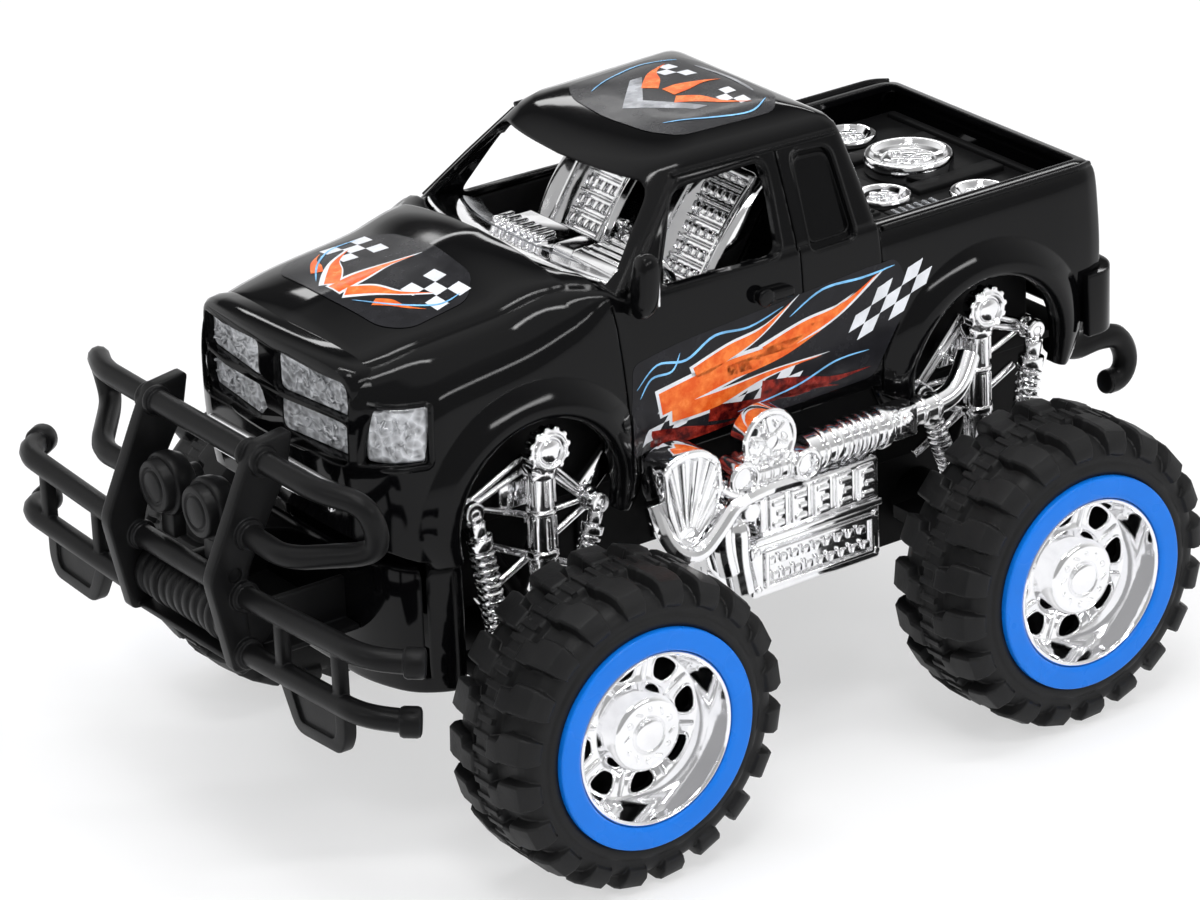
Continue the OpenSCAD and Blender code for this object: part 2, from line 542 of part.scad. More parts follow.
LAMP_Y = 11;
LAMP_X = KNEE_X - 10.5;      // front of the housings
LAMP_Z = GUARD_Z + 13.2;
module spot_lamps() {
    color("dimgray") on_frame() both_sides() {
        bar_x(LAMP_Y, LAMP_Z, lamp_r, LAMP_X - 7, LAMP_X);
        bar_x(LAMP_Y, LAMP_Z, lamp_r * 0.83, LAMP_X - 1, LAMP_X + 3);
        bar_x(LAMP_Y, LAMP_Z, lamp_r * 0.6, LAMP_X - 11, LAMP_X - 6);
        block([LAMP_X - 5, LAMP_Y - 4, GUARD_Z + TUBE_MID[1] + tube_r + fit], [LAMP_X, LAMP_Y + 4, LAMP_Z - lamp_r / 2]);
    }
}
WINCH_R = 7.8;
WINCH_AT = [KNEE_X - 14.5, GUARD_Z - 17.6];
module winch() {
    color("dimgray") on_frame() {
        bar_y(WINCH_AT[0], WINCH_AT[1], WINCH_R, -guard_half + guard_plate + fit, guard_half - guard_plate - fit);
        for (i = [-2 : 2]) bar_y(WINCH_AT[0], WINCH_AT[1], WINCH_R + 0.4, i * 8 - 2, i * 8 + 2);
    }
}

// ---- Wheels ----

half_w = tyre_w / 2;
// Puts a wheel piece, drawn around Z with its outer face up, at its corner
module at_wheel(x, side) { on_frame() translate([x, side * wheel_y, axle_z]) rotate([-90 * side, 0, 0]) children(); }
SEAT_R = ring_r - 4;
RING_DEPTH = 3.2;
module tyre(x, side) {
    color("black") at_wheel(x, side) rotate_extrude()
        polygon([[SEAT_R, half_w - RING_DEPTH], [ring_r + fit, half_w - RING_DEPTH], [ring_r + fit, half_w],
                 [wheel_r - 6, half_w], [wheel_r - 1.6, half_w - 4], [wheel_r - 0.4, half_w * 0.45], [wheel_r, 0],
                 [wheel_r - 0.4, -half_w * 0.45], [wheel_r - 1.6, -half_w + 4], [wheel_r - 6, -half_w],
                 [ring_r + fit, -half_w], [ring_r + fit, -half_w + RING_DEPTH], [SEAT_R, -half_w + RING_DEPTH],
                 [SEAT_R, -half_w + RING_DEPTH + 2.5], [wheel_r - 6, -half_w + RING_DEPTH + 2.5],
                 [wheel_r - 6, half_w - RING_DEPTH - 2.5], [SEAT_R, half_w - RING_DEPTH - 2.5]]);
}
module ring(x, side) {
    color("royalblue") at_wheel(x, side) rotate_extrude()
        polygon([[ring_hole_r, half_w - RING_DEPTH], [ring_r, half_w - RING_DEPTH], [ring_r, half_w + 1],
                 [ring_r - 1, half_w + 2], [ring_hole_r + 1, half_w + 2], [ring_hole_r, half_w + 1]]);
}
HUB_FACE = 15;
DISH = 6.5;
module rim(x, side) {
    lip = ring_hole_r - fit;
    color("silver") at_wheel(x, side) difference() {
        rotate_extrude()
            polygon([[axle_r, -half_w], [ring_r - 0.5, -half_w], [ring_r - 0.5, -half_w + 2.4],
                     [SEAT_R - fit, -half_w + 2.4], [SEAT_R - fit, half_w - RING_DEPTH - fit], [lip, half_w - RING_DEPTH - fit],
                     [lip, half_w + 0.6], [lip - 1.6, half_w + 0.6], [lip - 2.6, DISH + 4], [lip - 4.5, DISH + 1],
                     [12.2, DISH + 2.5], [10.5, HUB_FACE - 1], [9.5, HUB_FACE], [0, HUB_FACE], [0, HUB_FACE - 3],
                     [axle_r, HUB_FACE - 3]]);
        for (i = [0 : window_count - 1]) rotate([0, 0, i * 360 / window_count]) translate([0, 0, -half_w + 2.4])
            linear_extrude(tyre_w) polygon([[13, -1.9], [13, 1.9], [20.2, 4.6], [21.2, 3.4], [21.2, -3.4], [20.2, -4.6]]);
        translate([0, 0, -half_w + 2.4]) difference() {
            cylinder(r = SEAT_R - 2.4, h = half_w + DISH - 4.4);
            translate([0, 0, -1]) cylinder(r = 6, h = tyre_w);
        }
    }
}
module axle_rod(x) {
    rod_end = wheel_y + HUB_FACE - 3 - fit;
    color("gray") on_frame() bar_y(x, axle_z, axle_r, -rod_end, rod_end);
}

body_shell();
grille_insert();
headlights();
cabin_interior();
seats();
mirror_left();
bed_panel();
bed_speakers();
rear_bumper();
tow_hooks();
chassis();
floor_pan();
front_apron();
front_axle_housing();
rear_gearbox();
side_engine(LEFT);  // side_engine_left
side_engine(RIGHT);  // side_engine_right
shock_tower(ax, 1, LEFT);  // shock_tower_fl
shock_tower(ax, 1, RIGHT);  // shock_tower_fr
shock_tower(-ax, -1, LEFT);  // shock_tower_rl
shock_tower(-ax, -1, RIGHT);  // shock_tower_rr
coil_shocks(ax, 1, LEFT);  // coil_shocks_fl
coil_shocks(ax, 1, RIGHT);  // coil_shocks_fr
coil_shocks(-ax, -1, LEFT);  // coil_shocks_rl
coil_shocks(-ax, -1, RIGHT);  // coil_shocks_rr
bull_bar();
spot_lamps();
winch();
tyre(ax, LEFT);  // tyre_fl
tyre(ax, RIGHT);  // tyre_fr
tyre(-ax, LEFT);  // tyre_rl
tyre(-ax, RIGHT);  // tyre_rr
rim(ax, LEFT);  // rim_fl
rim(ax, RIGHT);  // rim_fr
rim(-ax, LEFT);  // rim_rl
rim(-ax, RIGHT);  // rim_rr
ring(ax, LEFT);  // ring_fl
ring(ax, RIGHT);  // ring_fr
ring(-ax, LEFT);  // ring_rl
ring(-ax, RIGHT);  // ring_rr
axle_rod(ax);  // front_axle
axle_rod(-ax);  // rear_axle
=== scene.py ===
"""Toy monster truck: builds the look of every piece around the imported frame.

Lengths in the tables are millimetres, measured from the middle of the wheelbase
(X forward, Y left, Z up from the floor); `done` turns them into the frame's metres.
"""

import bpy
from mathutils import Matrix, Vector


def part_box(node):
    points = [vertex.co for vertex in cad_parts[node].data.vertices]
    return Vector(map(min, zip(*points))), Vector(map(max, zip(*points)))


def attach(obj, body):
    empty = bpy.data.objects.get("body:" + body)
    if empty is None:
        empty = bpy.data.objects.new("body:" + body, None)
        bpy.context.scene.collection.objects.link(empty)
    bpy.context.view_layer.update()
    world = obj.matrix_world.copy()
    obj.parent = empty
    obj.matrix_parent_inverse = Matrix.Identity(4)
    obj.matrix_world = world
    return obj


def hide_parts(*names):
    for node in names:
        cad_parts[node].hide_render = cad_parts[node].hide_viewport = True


bl_info = {
    "name": "Toy Monster Truck",
    "version": (1, 0, 0),
    "blender": (4, 5, 0),
    "location": "View3D > Sidebar > Truck",
    "description": "Builds the visible pieces of a toy monster truck",
    "category": "Object",
}

import math
import random
from math import cos, hypot, pi, radians, sin

import bpy
import numpy as np
from mathutils import Matrix, Vector
from mathutils.bvhtree import BVHTree

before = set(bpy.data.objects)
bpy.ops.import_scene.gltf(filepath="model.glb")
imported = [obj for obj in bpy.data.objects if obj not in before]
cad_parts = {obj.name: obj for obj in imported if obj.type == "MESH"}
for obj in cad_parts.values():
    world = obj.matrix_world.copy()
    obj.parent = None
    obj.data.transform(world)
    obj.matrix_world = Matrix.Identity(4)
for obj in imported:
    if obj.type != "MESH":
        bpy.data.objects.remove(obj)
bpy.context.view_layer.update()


def middle(node):
    """Middle of a frame node's box, in metres."""
    low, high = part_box(node)
    return (low + high) / 2


# The axles give the wheelbase and the place of its middle in the frame
AX = (middle("front_axle").x - middle("rear_axle").x) * 500
MID = -(middle("front_axle").x + middle("rear_axle").x) * 500
AXLE_Z = middle("front_axle").z * 1000
SILL = AXLE_Z + 55      # the body's lower edge
HW = 52.5               # half width of the body over the doors
NOSE, TAIL = AX + 54.6, -AX - 48.4
TO_FRAME = Matrix.Translation((-MID / 1000, 0, 0)) @ Matrix.Diagonal((0.001, 0.001, 0.001, 1))
FLIP = Matrix.Diagonal((1, -1, 1, 1))


# ---- Sizes and colours a user may change ----

def length(name, description, default, low=0.0, high=1000.0):
    return bpy.props.FloatProperty(name=name, description=description, default=default, min=low, max=high)


def colour(name, description, default):
    return bpy.props.FloatVectorProperty(
        name=name, description=description, default=default, subtype="COLOR", size=3, min=0, max=1)


class TruckSizes(bpy.types.PropertyGroup):
    """Sizes of the truck's visible details, in millimetres."""
    lugs: bpy.props.IntProperty(name="Lugs", description="Tread lugs on each side of a tyre", default=20,
        min=8, max=40)
    lug_height: length("Lug height", "Height of a tread lug over the carcass, mm", 4.2, 1, 8)
    lug_width: length("Lug width", "Length of a lug around the tyre, mm", 8.8, 3, 12)
    windows: bpy.props.IntProperty(name="Rim windows", description="Windows in a rim", default=8, min=4,
        max=12)
    coil_turns: bpy.props.IntProperty(name="Coil turns", description="Turns of a coil spring", default=10,
        min=4, max=20)
    coil_wire: length("Coil wire", "Radius of a coil's wire, mm", 0.75, 0.3, 1.5)
    wall: length("Body wall", "Wall thickness of the body shell, mm", 2.2, 1, 4)
    seam: length("Seam", "Width of the door seams, mm", 0.55, 0.2, 1.5)
    hood_rise: length("Hood rise", "Height of the hood panel over the fenders, mm", 2.2, 0, 5)


class TruckColours(bpy.types.PropertyGroup):
    """Colours of the truck's mouldings, linear values."""
    body: colour("Body", "Glossy moulded body", (0.002, 0.002, 0.0023))
    satin: colour("Satin black", "Guard, hooks and chassis", (0.005, 0.005, 0.0053))
    rubber: colour("Tyre", "Soft tyre compound", (0.0078, 0.0078, 0.0082))
    ring: colour("Ring", "Coloured wheel ring", (0.003, 0.165, 0.68))
    chrome: colour("Chrome", "Plated plastic", (0.93, 0.93, 0.94))
    lens: colour("Lens", "Crinkled silver lamp lens", (0.50, 0.51, 0.53))
    print_warm: colour("Warm print", "Main colour of the flame print", (0.75, 0.10, 0.012))
    print_pale: colour("Pale print", "Pale blocks of the print", (0.78, 0.80, 0.84))
    print_blue: colour("Blue print", "Thin cool lines of the print", (0.16, 0.38, 0.62))


def sizes():
    return bpy.context.scene.truck_sizes


def colours():
    return bpy.context.scene.truck_colours


# ---- Finishes ----

class Sock:
    """One output of a shader node; arithmetic on it adds Math nodes."""

    def __init__(self, finish, socket):
        self.finish, self.socket = finish, socket

    def math(self, operation, a, b):
        return self.finish.node("ShaderNodeMath", {"operation": operation}, {0: a, 1: b})

    def __add__(self, other): return self.math("ADD", self, other)
    def __radd__(self, other): return self.math("ADD", other, self)
    def __sub__(self, other): return self.math("SUBTRACT", self, other)
    def __rsub__(self, other): return self.math("SUBTRACT", other, self)
    def __mul__(self, other): return self.math("MULTIPLY", self, other)
    def __rmul__(self, other): return self.math("MULTIPLY", other, self)
    def under(self, other): return self.math("LESS_THAN", self, other)
    def held(self): return self.finish.node("ShaderNodeClamp", {}, {"Value": self})

    def ramp(self, low, high, start=0.0, end=1.0):
        return self.finish.node("ShaderNodeMapRange", {"clamp": True}, {
            "Value": self, "From Min": low, "From Max": high, "To Min": start, "To Max": end})


class Finish:
    """A material and the nodes that feed its shader."""

    def __init__(self, name, **fixed):
        self.material = bpy.data.materials.new(name)
        self.material.use_nodes = True
        self.tree = self.material.node_tree
        self.shader = self.tree.nodes["Principled BSDF"]
        for key, value in fixed.items():
            self.shader.inputs[key.replace("_", " ")].default_value = value
        self.shader.inputs["IOR"].default_value = 1.47

    def join(self, target, value):
        if isinstance(value, Sock):
            self.tree.links.new(value.socket, target)
        elif isinstance(value, (tuple, list)) and len(value) == 3 and target.type == "RGBA":
            target.default_value = (*value, 1)
        else:
            target.default_value = value

    def node(self, kind, settings=None, inputs=None, out=0):
        n = self.tree.nodes.new(kind)
        for key, value in (settings or {}).items():
            setattr(n, key, value)
        for key, value in (inputs or {}).items():
            self.join(n.inputs[key], value)
        return Sock(self, n.outputs[out])

    def feed(self, **values):
        for key, value in values.items():
            self.join(self.shader.inputs[key.replace("_", " ")], value)

    def place(self):
        return self.node("ShaderNodeTexCoord", out=3)

    def noise(self, scale, detail=3.0, rough=0.5):
        return self.node("ShaderNodeTexNoise", None, {
            "Vector": self.place(), "Scale": scale, "Detail": detail, "Roughness": rough})

    def cells(self, scale, feature="F1"):
        return self.node("ShaderNodeTexVoronoi", {"feature": feature},
            {"Vector": self.place(), "Scale": scale})

    def blend(self, factor, a, b):
        return self.node("ShaderNodeMix", {"data_type": "RGBA"}, {0: factor, 6: a, 7: b}, out=2)

    def rounded(self, radius):
        return self.node("ShaderNodeBevel", {"samples": 4}, {"Radius": radius / 1000})

    def bumped(self, height, strength, depth, normal=None):
        inputs = {"Height": height, "Strength": strength, "Distance": depth / 1000}
        if normal is not None:
            inputs["Normal"] = normal
        return self.node("ShaderNodeBump", None, inputs)

    def edge(self, radius):
        """1 on edges narrower than `radius` mm, 0 on flats."""
        bent = self.rounded(radius)
        flat = self.node("ShaderNodeNewGeometry", out=1)
        dot = self.node("ShaderNodeVectorMath", {"operation": "DOT_PRODUCT"}, {0: bent, 1: flat}, out=1)
        return (1 - dot).ramp(0.02, 0.25)


FINISHES = {}


def finish_body():
    f = Finish("body gloss black", Specular_IOR_Level=0.2)
    smear = f.noise(45, 4)
    speck = f.cells(900)
    tint = tuple(colours().body)
    f.feed(Base_Color=f.blend(speck.under(0.05) * 0.4, tint, (0.03, 0.03, 0.033)),
           Roughness=smear.ramp(0.35, 0.75, 0.04, 0.10),
           Normal=f.bumped(f.noise(28, 2), 0.12, 0.2, f.rounded(0.9)))
    return f


def finish_satin():
    f = Finish("satin black", Specular_IOR_Level=0.16)
    tint = tuple(colours().satin)
    worn = f.edge(0.9) * f.noise(140, 4).ramp(0.42, 0.62)
    f.feed(Base_Color=f.blend(worn * 0.55, tint, (0.03, 0.03, 0.032)),
           Roughness=f.noise(60, 3).ramp(0.3, 0.7, 0.30, 0.44),
           Normal=f.bumped(f.noise(1500, 2), 0.22, 0.12, f.rounded(0.7)))
    return f


def finish_deep():
    f = Finish("chassis black", Specular_IOR_Level=0.12)
    f.feed(Base_Color=f.blend(f.noise(80), (0.003, 0.003, 0.0033), (0.006, 0.006, 0.0063)),
           Roughness=f.noise(70).ramp(0.3, 0.7, 0.42, 0.6),
           Normal=f.bumped(f.noise(1300, 2), 0.25, 0.12, f.rounded(0.6)))
    return f


def finish_rubber():
    f = Finish("tyre", Specular_IOR_Level=0.22)
    tint = tuple(colours().rubber)
    dust = f.noise(90, 5, 0.6)
    scuff = f.edge(0.8) * dust.ramp(0.4, 0.6)
    dusty = f.blend(dust.ramp(0.4, 0.8, 0, 0.35), tint, (0.016, 0.016, 0.0157))
    f.feed(Base_Color=f.blend(scuff * 0.35, dusty, (0.04, 0.04, 0.04)),
           Roughness=dust.ramp(0.3, 0.75, 0.40, 0.60),
           Normal=f.bumped(f.noise(1100, 3), 0.35, 0.18, f.rounded(0.7)))
    return f


def finish_chrome():
    f = Finish("plated chrome", Metallic=1.0)
    tint = tuple(colours().chrome)
    haze = f.noise(120, 3)
    f.feed(Base_Color=f.blend(haze.ramp(0.45, 0.75, 0, 0.35), tint, (0.72, 0.72, 0.74)),
           Roughness=haze.ramp(0.3, 0.75, 0.03, 0.11),
           Normal=f.bumped(f.noise(160, 2), 0.16, 0.3, f.rounded(0.55)))
    return f


def finish_dull_chrome():
    f = Finish("tinted chrome", Metallic=1.0)
    haze = f.noise(150, 3)
    f.feed(Base_Color=f.blend(haze, (0.20, 0.21, 0.23), (0.42, 0.43, 0.45)),
           Roughness=haze.ramp(0.3, 0.75, 0.16, 0.30),
           Normal=f.bumped(f.noise(200, 2), 0.2, 0.3, f.rounded(0.5)))
    return f


def finish_ring():
    f = Finish("ring blue", Coat_Weight=0.12, Coat_Roughness=0.06, Specular_IOR_Level=0.2)
    cloud = f.noise(50, 3)
    tint = tuple(colours().ring)
    f.feed(Base_Color=f.blend(cloud.ramp(0.4, 0.7, 0, 0.4), tint, tuple(c * 0.82 for c in tint)),
           Roughness=cloud.ramp(0.3, 0.75, 0.24, 0.34),
           Normal=f.bumped(f.noise(600, 2), 0.12, 0.12, f.rounded(0.7)))
    return f


def finish_lens():
    f = Finish("crinkled lens", Coat_Weight=0.6, Coat_Roughness=0.06, Metallic=0.35)
    crumple = f.cells(420)
    fold = f.cells(260, "SMOOTH_F1")
    tint = tuple(colours().lens)
    # The colour follows the crumple's cells: darker in each dimple and lighter towards its ridges, painted
    # shade and painted highlights on the crinkle.
    f.feed(Base_Color=f.blend(crumple.ramp(0.1, 0.75), tuple(c * 0.55 for c in tint),
        tuple(min(1, c * 1.35) for c in tint)),
           Roughness=fold.ramp(0.1, 0.8, 0.22, 0.5),
           Normal=f.bumped(crumple + fold, 0.9, 1.0, f.rounded(0.6)))
    return f


def finish_steel():
    f = Finish("axle steel", Metallic=1.0)
    haze = f.noise(400, 3)
    f.feed(Base_Color=f.blend(haze, (0.45, 0.45, 0.46), (0.6, 0.6, 0.61)),
           Roughness=haze.ramp(0.3, 0.7, 0.25, 0.4), Normal=f.rounded(0.3))
    return f


def finish_print(name, low, high, streaks=140):
    f = Finish(name, Coat_Weight=0.06, Coat_Roughness=0.05, Specular_IOR_Level=0.15)
    lick = f.noise(streaks, 4, 0.6)
    f.feed(Base_Color=f.blend(lick.ramp(0.38, 0.62), low, high), Roughness=lick.ramp(0.3, 0.7, 0.2, 0.3),
           Normal=f.bumped(f.noise(60, 2), 0.1, 0.2))
    return f


def finishes():
    warm, pale, blue = (tuple(c) for c in (colours().print_warm, colours().print_pale, colours().print_blue))
    FINISHES.update({
        "body": finish_body(), "satin": finish_satin(), "deep": finish_deep(), "rubber": finish_rubber(),
        "chrome": finish_chrome(), "smoke": finish_dull_chrome(), "ring": finish_ring(),
        "lens": finish_lens(),
        "steel": finish_steel(),
        "pale": finish_print("print pale", pale, tuple(c * 0.86 for c in pale)),
        "warm": finish_print("print warm", warm, (0.88, 0.21, 0.04), 260),
        "dark red": finish_print("print dark red", (0.05, 0.003, 0.004), (0.30, 0.022, 0.012), 300),
        "blue": finish_print("print blue", blue, tuple(min(1, c * 1.6) for c in blue)),
        "film": finish_print("print film", (0.010, 0.010, 0.012), (0.014, 0.014, 0.017)),
        "grey": finish_print("print grey", (0.18, 0.185, 0.2), (0.42, 0.43, 0.46)),
    })


# ---- Modelling, in millimetres ----

def fresh():
    """Nothing selected, object mode."""
    if bpy.context.object and bpy.context.object.mode != "OBJECT":
        bpy.ops.object.mode_set(mode="OBJECT")
    bpy.ops.object.select_all(action="DESELECT")


def pick(*objects):
    fresh()
    for o in objects:
        o.select_set(True)
    bpy.context.view_layer.objects.active = objects[0]
    return objects[0]


def settle(obj):
    """The object's place goes into its mesh."""
    moved(obj, obj.matrix_world.copy())
    obj.matrix_world = Matrix.Identity(4)
    return obj


def paint(obj, key):
    obj.data.materials.clear()
    obj.data.materials.append(FINISHES[key].material)
    return obj


def modify(obj, kind, **settings):
    """Adds a modifier and applies it."""
    pick(obj)
    m = obj.modifiers.new(kind.lower(), kind)
    for key, value in settings.items():
        setattr(m, key, value)
    bpy.ops.object.modifier_apply(modifier=m.name)
    return obj


def bevel(obj, width, segments=2, angle=30):
    return modify(obj, "BEVEL", width=width, segments=segments, limit_method="ANGLE",
                  angle_limit=radians(angle), use_clamp_overlap=True)


def cut(obj, *tools):
    for tool in tools:
        modify(obj, "BOOLEAN", operation="DIFFERENCE", solver="MANIFOLD", object=tool)
        bpy.data.objects.remove(tool)
    return obj


def fuse(obj, *others):
    for other in others:
        modify(obj, "BOOLEAN", operation="UNION", solver="MANIFOLD", object=other)
        bpy.data.objects.remove(other)
    return obj


def linked(name, data):
    obj = bpy.data.objects.new(name, data)
    bpy.context.collection.objects.link(obj)
    return obj


def shape(name, points, faces):
    mesh = bpy.data.meshes.new(name)
    mesh.from_pydata([tuple(p) for p in points], [], faces)
    mesh.update()
    return linked(name, mesh)


def outwards(obj, distance=0.0005):
    """Merges doubles, then turns every face of a closed shape outwards."""
    pick(obj)
    bpy.ops.object.mode_set(mode="EDIT")
    bpy.ops.mesh.select_all(action="SELECT")
    bpy.ops.mesh.remove_doubles(threshold=distance)
    bpy.ops.mesh.normals_make_consistent(inside=False)
    bpy.ops.object.mode_set(mode="OBJECT")
    return obj


def loft(rings):
    """A closed skin over rings of the same number of points."""
    n = len(rings[0])
    points = [p for ring in rings for p in ring]
    faces = [(i * n + j, i * n + (j + 1) % n, (i + 1) * n + (j + 1) % n, (i + 1) * n + j)
             for i in range(len(rings) - 1) for j in range(n)]
    faces += [tuple(range(n))[::-1], tuple(range((len(rings) - 1) * n, len(rings) * n))]
    return outwards(shape("skin", points, faces))


def block(low, high, edge=0.0, segments=2):
    fresh()
    size = [h - l for l, h in zip(low, high)]
    bpy.ops.mesh.primitive_cube_add(size=1, location=[(l + h) / 2 for l, h in zip(low, high)], scale=size)
    obj = settle(bpy.context.object)
    return bevel(obj, edge, segments) if edge else obj


def rod(start, end, radius, sides=32, edge=0.0, tip=None):
    """A round bar between two points; `tip` is its radius at the end."""
    fresh()
    run = Vector(end) - Vector(start)
    bpy.ops.mesh.primitive_cone_add(vertices=sides, radius1=radius, radius2=radius if tip is None else tip,
                                    depth=run.length)
    obj = bpy.context.object
    obj.matrix_world = (Matrix.Translation((Vector(start) + Vector(end)) / 2)
                        @ run.to_track_quat("Z", "Y").to_matrix().to_4x4())
    settle(obj)
    return bevel(obj, edge, 2) if edge else obj


def prism(outline, start, end, axis="Y", edge=0.0, segments=2):
    """An outline in the other two axes, pushed along `axis` from start to end."""
    n = len(outline)
    put = {"Y": lambda a, b, c: (a, c, b), "X": lambda a, b, c: (c, a, b), "Z": lambda a, b,
           c: (a, b, c)}[axis]
    points = [put(a, b, c) for c in (start, end) for a, b in outline]
    faces = [tuple(range(n)), tuple(range(n, 2 * n))[::-1]]
    faces += [(j, (j + 1) % n, n + (j + 1) % n, n + j) for j in range(n)]
    obj = outwards(shape("prism", points, faces))
    return bevel(obj, edge, segments) if edge else obj


def softened(points, radius, steps=5, closed=True):
    """The outline with its corners rounded; works in two or three dimensions."""
    out, n = [], len(points)
    radii = radius if isinstance(radius, (list, tuple)) else [radius] * n
    for i, p in enumerate(points):
        if not closed and i in (0, n - 1):
            out.append(Vector(p))
            continue
        p, a, b = Vector(p), Vector(points[i - 1]), Vector(points[(i + 1) % n])
        start = p + (a - p).normalized() * min(radii[i], (a - p).length * 0.48)
        end = p + (b - p).normalized() * min(radii[i], (b - p).length * 0.48)
        for k in range(steps + 1):
            t = k / steps
            out.append(start * (1 - t) ** 2 + p * 2 * t * (1 - t) + end * t * t)
    return [tuple(v) for v in out]


def tube(points, radius, sides=14, bend=0.0, steps=6, closed=False):
    """A round bar along points, its corners rounded by `bend`."""
    path = softened(points, bend, steps, closed) if bend else [tuple(p) for p in points]
    curve = bpy.data.curves.new("tube", "CURVE")
    curve.dimensions = "3D"
    curve.bevel_depth = radius
    curve.bevel_resolution = max(1, sides // 4 - 1)
    curve.use_fill_caps = not closed
    line = curve.splines.new("POLY")
    line.points.add(len(path) - 1)
    for point, p in zip(line.points, path):
        point.co = (*p, 1)
    line.use_cyclic_u = closed
    pick(linked("tube", curve))
    bpy.ops.object.convert(target="MESH")
    return outwards(bpy.context.object)


def turned(profile, steps=72):
    """A closed profile of (radius, height) turned about Z."""
    n = len(profile)
    mesh = bpy.data.meshes.new("turned")
    mesh.from_pydata([(r, 0, h) for r, h in profile], [(i, (i + 1) % n) for i in range(n)], [])
    obj = linked("turned", mesh)
    modify(obj, "SCREW", axis="Z", steps=steps, render_steps=steps, use_merge_vertices=True,
           merge_threshold=0.001, use_smooth_shade=False)
    return outwards(obj, 0.002)


def along_y(side, at):
    """Puts a shape turned about Z on its side, its top facing `side` * Y."""
    return Matrix.Translation(at) @ Matrix.Rotation(radians(-90 * side), 4, "X")


def moved(obj, matrix):
    obj.data.transform(matrix)
    if matrix.determinant() < 0:
        obj.data.flip_normals()
    return obj


def twin(obj, matrix):
    other = obj.copy()
    other.data = obj.data.copy()
    bpy.context.collection.objects.link(other)
    return moved(other, matrix)


def joined(parts):
    pick(*parts)
    if len(parts) > 1:
        bpy.ops.object.join()
    return bpy.context.object


def kit(parts, key):
    """A function that paints a shape and puts it with the parts."""
    def add(obj, other=key):
        parts.append(paint(obj, other))
    return add


def done(obj, name, body="truck", stands_for=None, angle=32):
    """Smooths a finished piece, puts it in the frame and lets it ride on its body."""
    pick(obj)
    bpy.ops.object.shade_smooth_by_angle(angle=radians(angle))
    obj.name = obj.data.name = name
    obj.data.transform(TO_FRAME @ obj.matrix_world)
    obj.matrix_world = Matrix.Identity(4)
    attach(obj, body)
    if stands_for:
        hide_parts(stands_for)


def smooth_table(rows, x):
    """A row of the table at x, each column following a monotone curve."""
    xs = np.array([r[0] for r in rows], float)
    values = np.array([r[1:] for r in rows], float)
    if xs[0] > xs[-1]:
        xs, values = xs[::-1], values[::-1]
    step = np.diff(xs)[:, None]
    slope = np.diff(values, axis=0) / step
    tangent = np.zeros_like(values)
    total, product = slope[1:] + slope[:-1], slope[1:] * slope[:-1]
    tangent[1:-1] = np.where(product > 0, 2 * slope[1:] * slope[:-1] / np.where(total == 0, 1, total), 0)
    tangent[0], tangent[-1] = slope[0], slope[-1]
    i = int(np.clip(np.searchsorted(xs, x) - 1, 0, len(xs) - 2))
    t = (x - xs[i]) / (xs[i + 1] - xs[i])
    w = xs[i + 1] - xs[i]
    return ((2 * t ** 3 - 3 * t ** 2 + 1) * values[i] + (t ** 3 - 2 * t ** 2 + t) * w * tangent[i]
            + (-2 * t ** 3 + 3 * t ** 2) * values[i + 1] + (t ** 3 - t ** 2) * w * tangent[i + 1])


# ---- Body ----

# x, sill y z, widest y z, belt y z, deck y z, crown z; heights from the sill
BODY = [
    (NOSE, 24, -1, 30, 12, 30.5, 31, 27, 40, 41.5),
    (AX + 53.2, 31, -2, 36, 12, 36, 32, 33, 41.5, 43.2),
    (AX + 50.0, 38, -4, 41.5, 13, 41, 32.5, 36.5, 43, 45.6),
    (AX + 45.5, 43.5, -6, 46, 14, 45, 33, 38, 44, 47.8),
    (AX + 39.0, 48, -9, 49.5, 15, 47.5, 34, 38.5, 45.2, 49.8),
    (AX + 29.0, 50, -11, 51.5, 16, 49.5, 37.5, 39, 47, 51.8),
    (AX + 2.0, 50, -11, 52.3, 18, 50, 41.5, 40.5, 49.8, 54.8),
    (AX - 14.5, 50, -11, 52.5, 20, 50.5, 46, 42.5, 52.8, 57.2),
    (AX - 25.5, 50, 0, 52.5, 22, 50.5, 48.6, 49, 52.6, 55),
    (AX - 31.0, 50, 0, 52.5, 22, 50.5, 47.5, 49.3, 49.5, 49.5),
    (-41.0, 50, 0, 52.5, 22, 50.5, 47.5, 49.3, 49.5, 49.5),
    (-42.2, 50, 0, 52.5, 22, 50.4, 43.5, 47.5, 46.6, 46.6),
    (-AX - 30.0, 50, -3, 52.5, 20, 50.4, 43.5, 47.5, 46.6, 46.6),
    (-AX - 41.0, 49.4, -4, 52.0, 18, 50.0, 43.5, 47.2, 46.6, 46.6),
    (-AX - 46.0, 47.6, -4, 50.4, 18, 48.2, 42.5, 46, 46.0, 46.0),
    (TAIL, 44.5, -4, 47.6, 18, 45.6, 40.0, 44, 44.0, 44.0)]

STATION = 3.0       # distance between two sections


def half_section(x, inset=0.0):
    """Points of the body's right half at x, from the sill up to the centre line."""
    s = smooth_table(BODY, x)
    side = [(s[0] - inset, SILL + s[1]), (s[2] - inset, SILL + s[3]),
            (s[4] - inset, SILL + s[5] - inset * 0.4),
            (s[6] - inset, SILL + s[7] - inset), (s[6] * 0.45, SILL + s[7] * 0.25 + s[8] * 0.75 - inset),
            (0, SILL + s[8] - inset)]
    return softened(side, [0, 16, 7, 4, 14, 0], 7, closed=False)


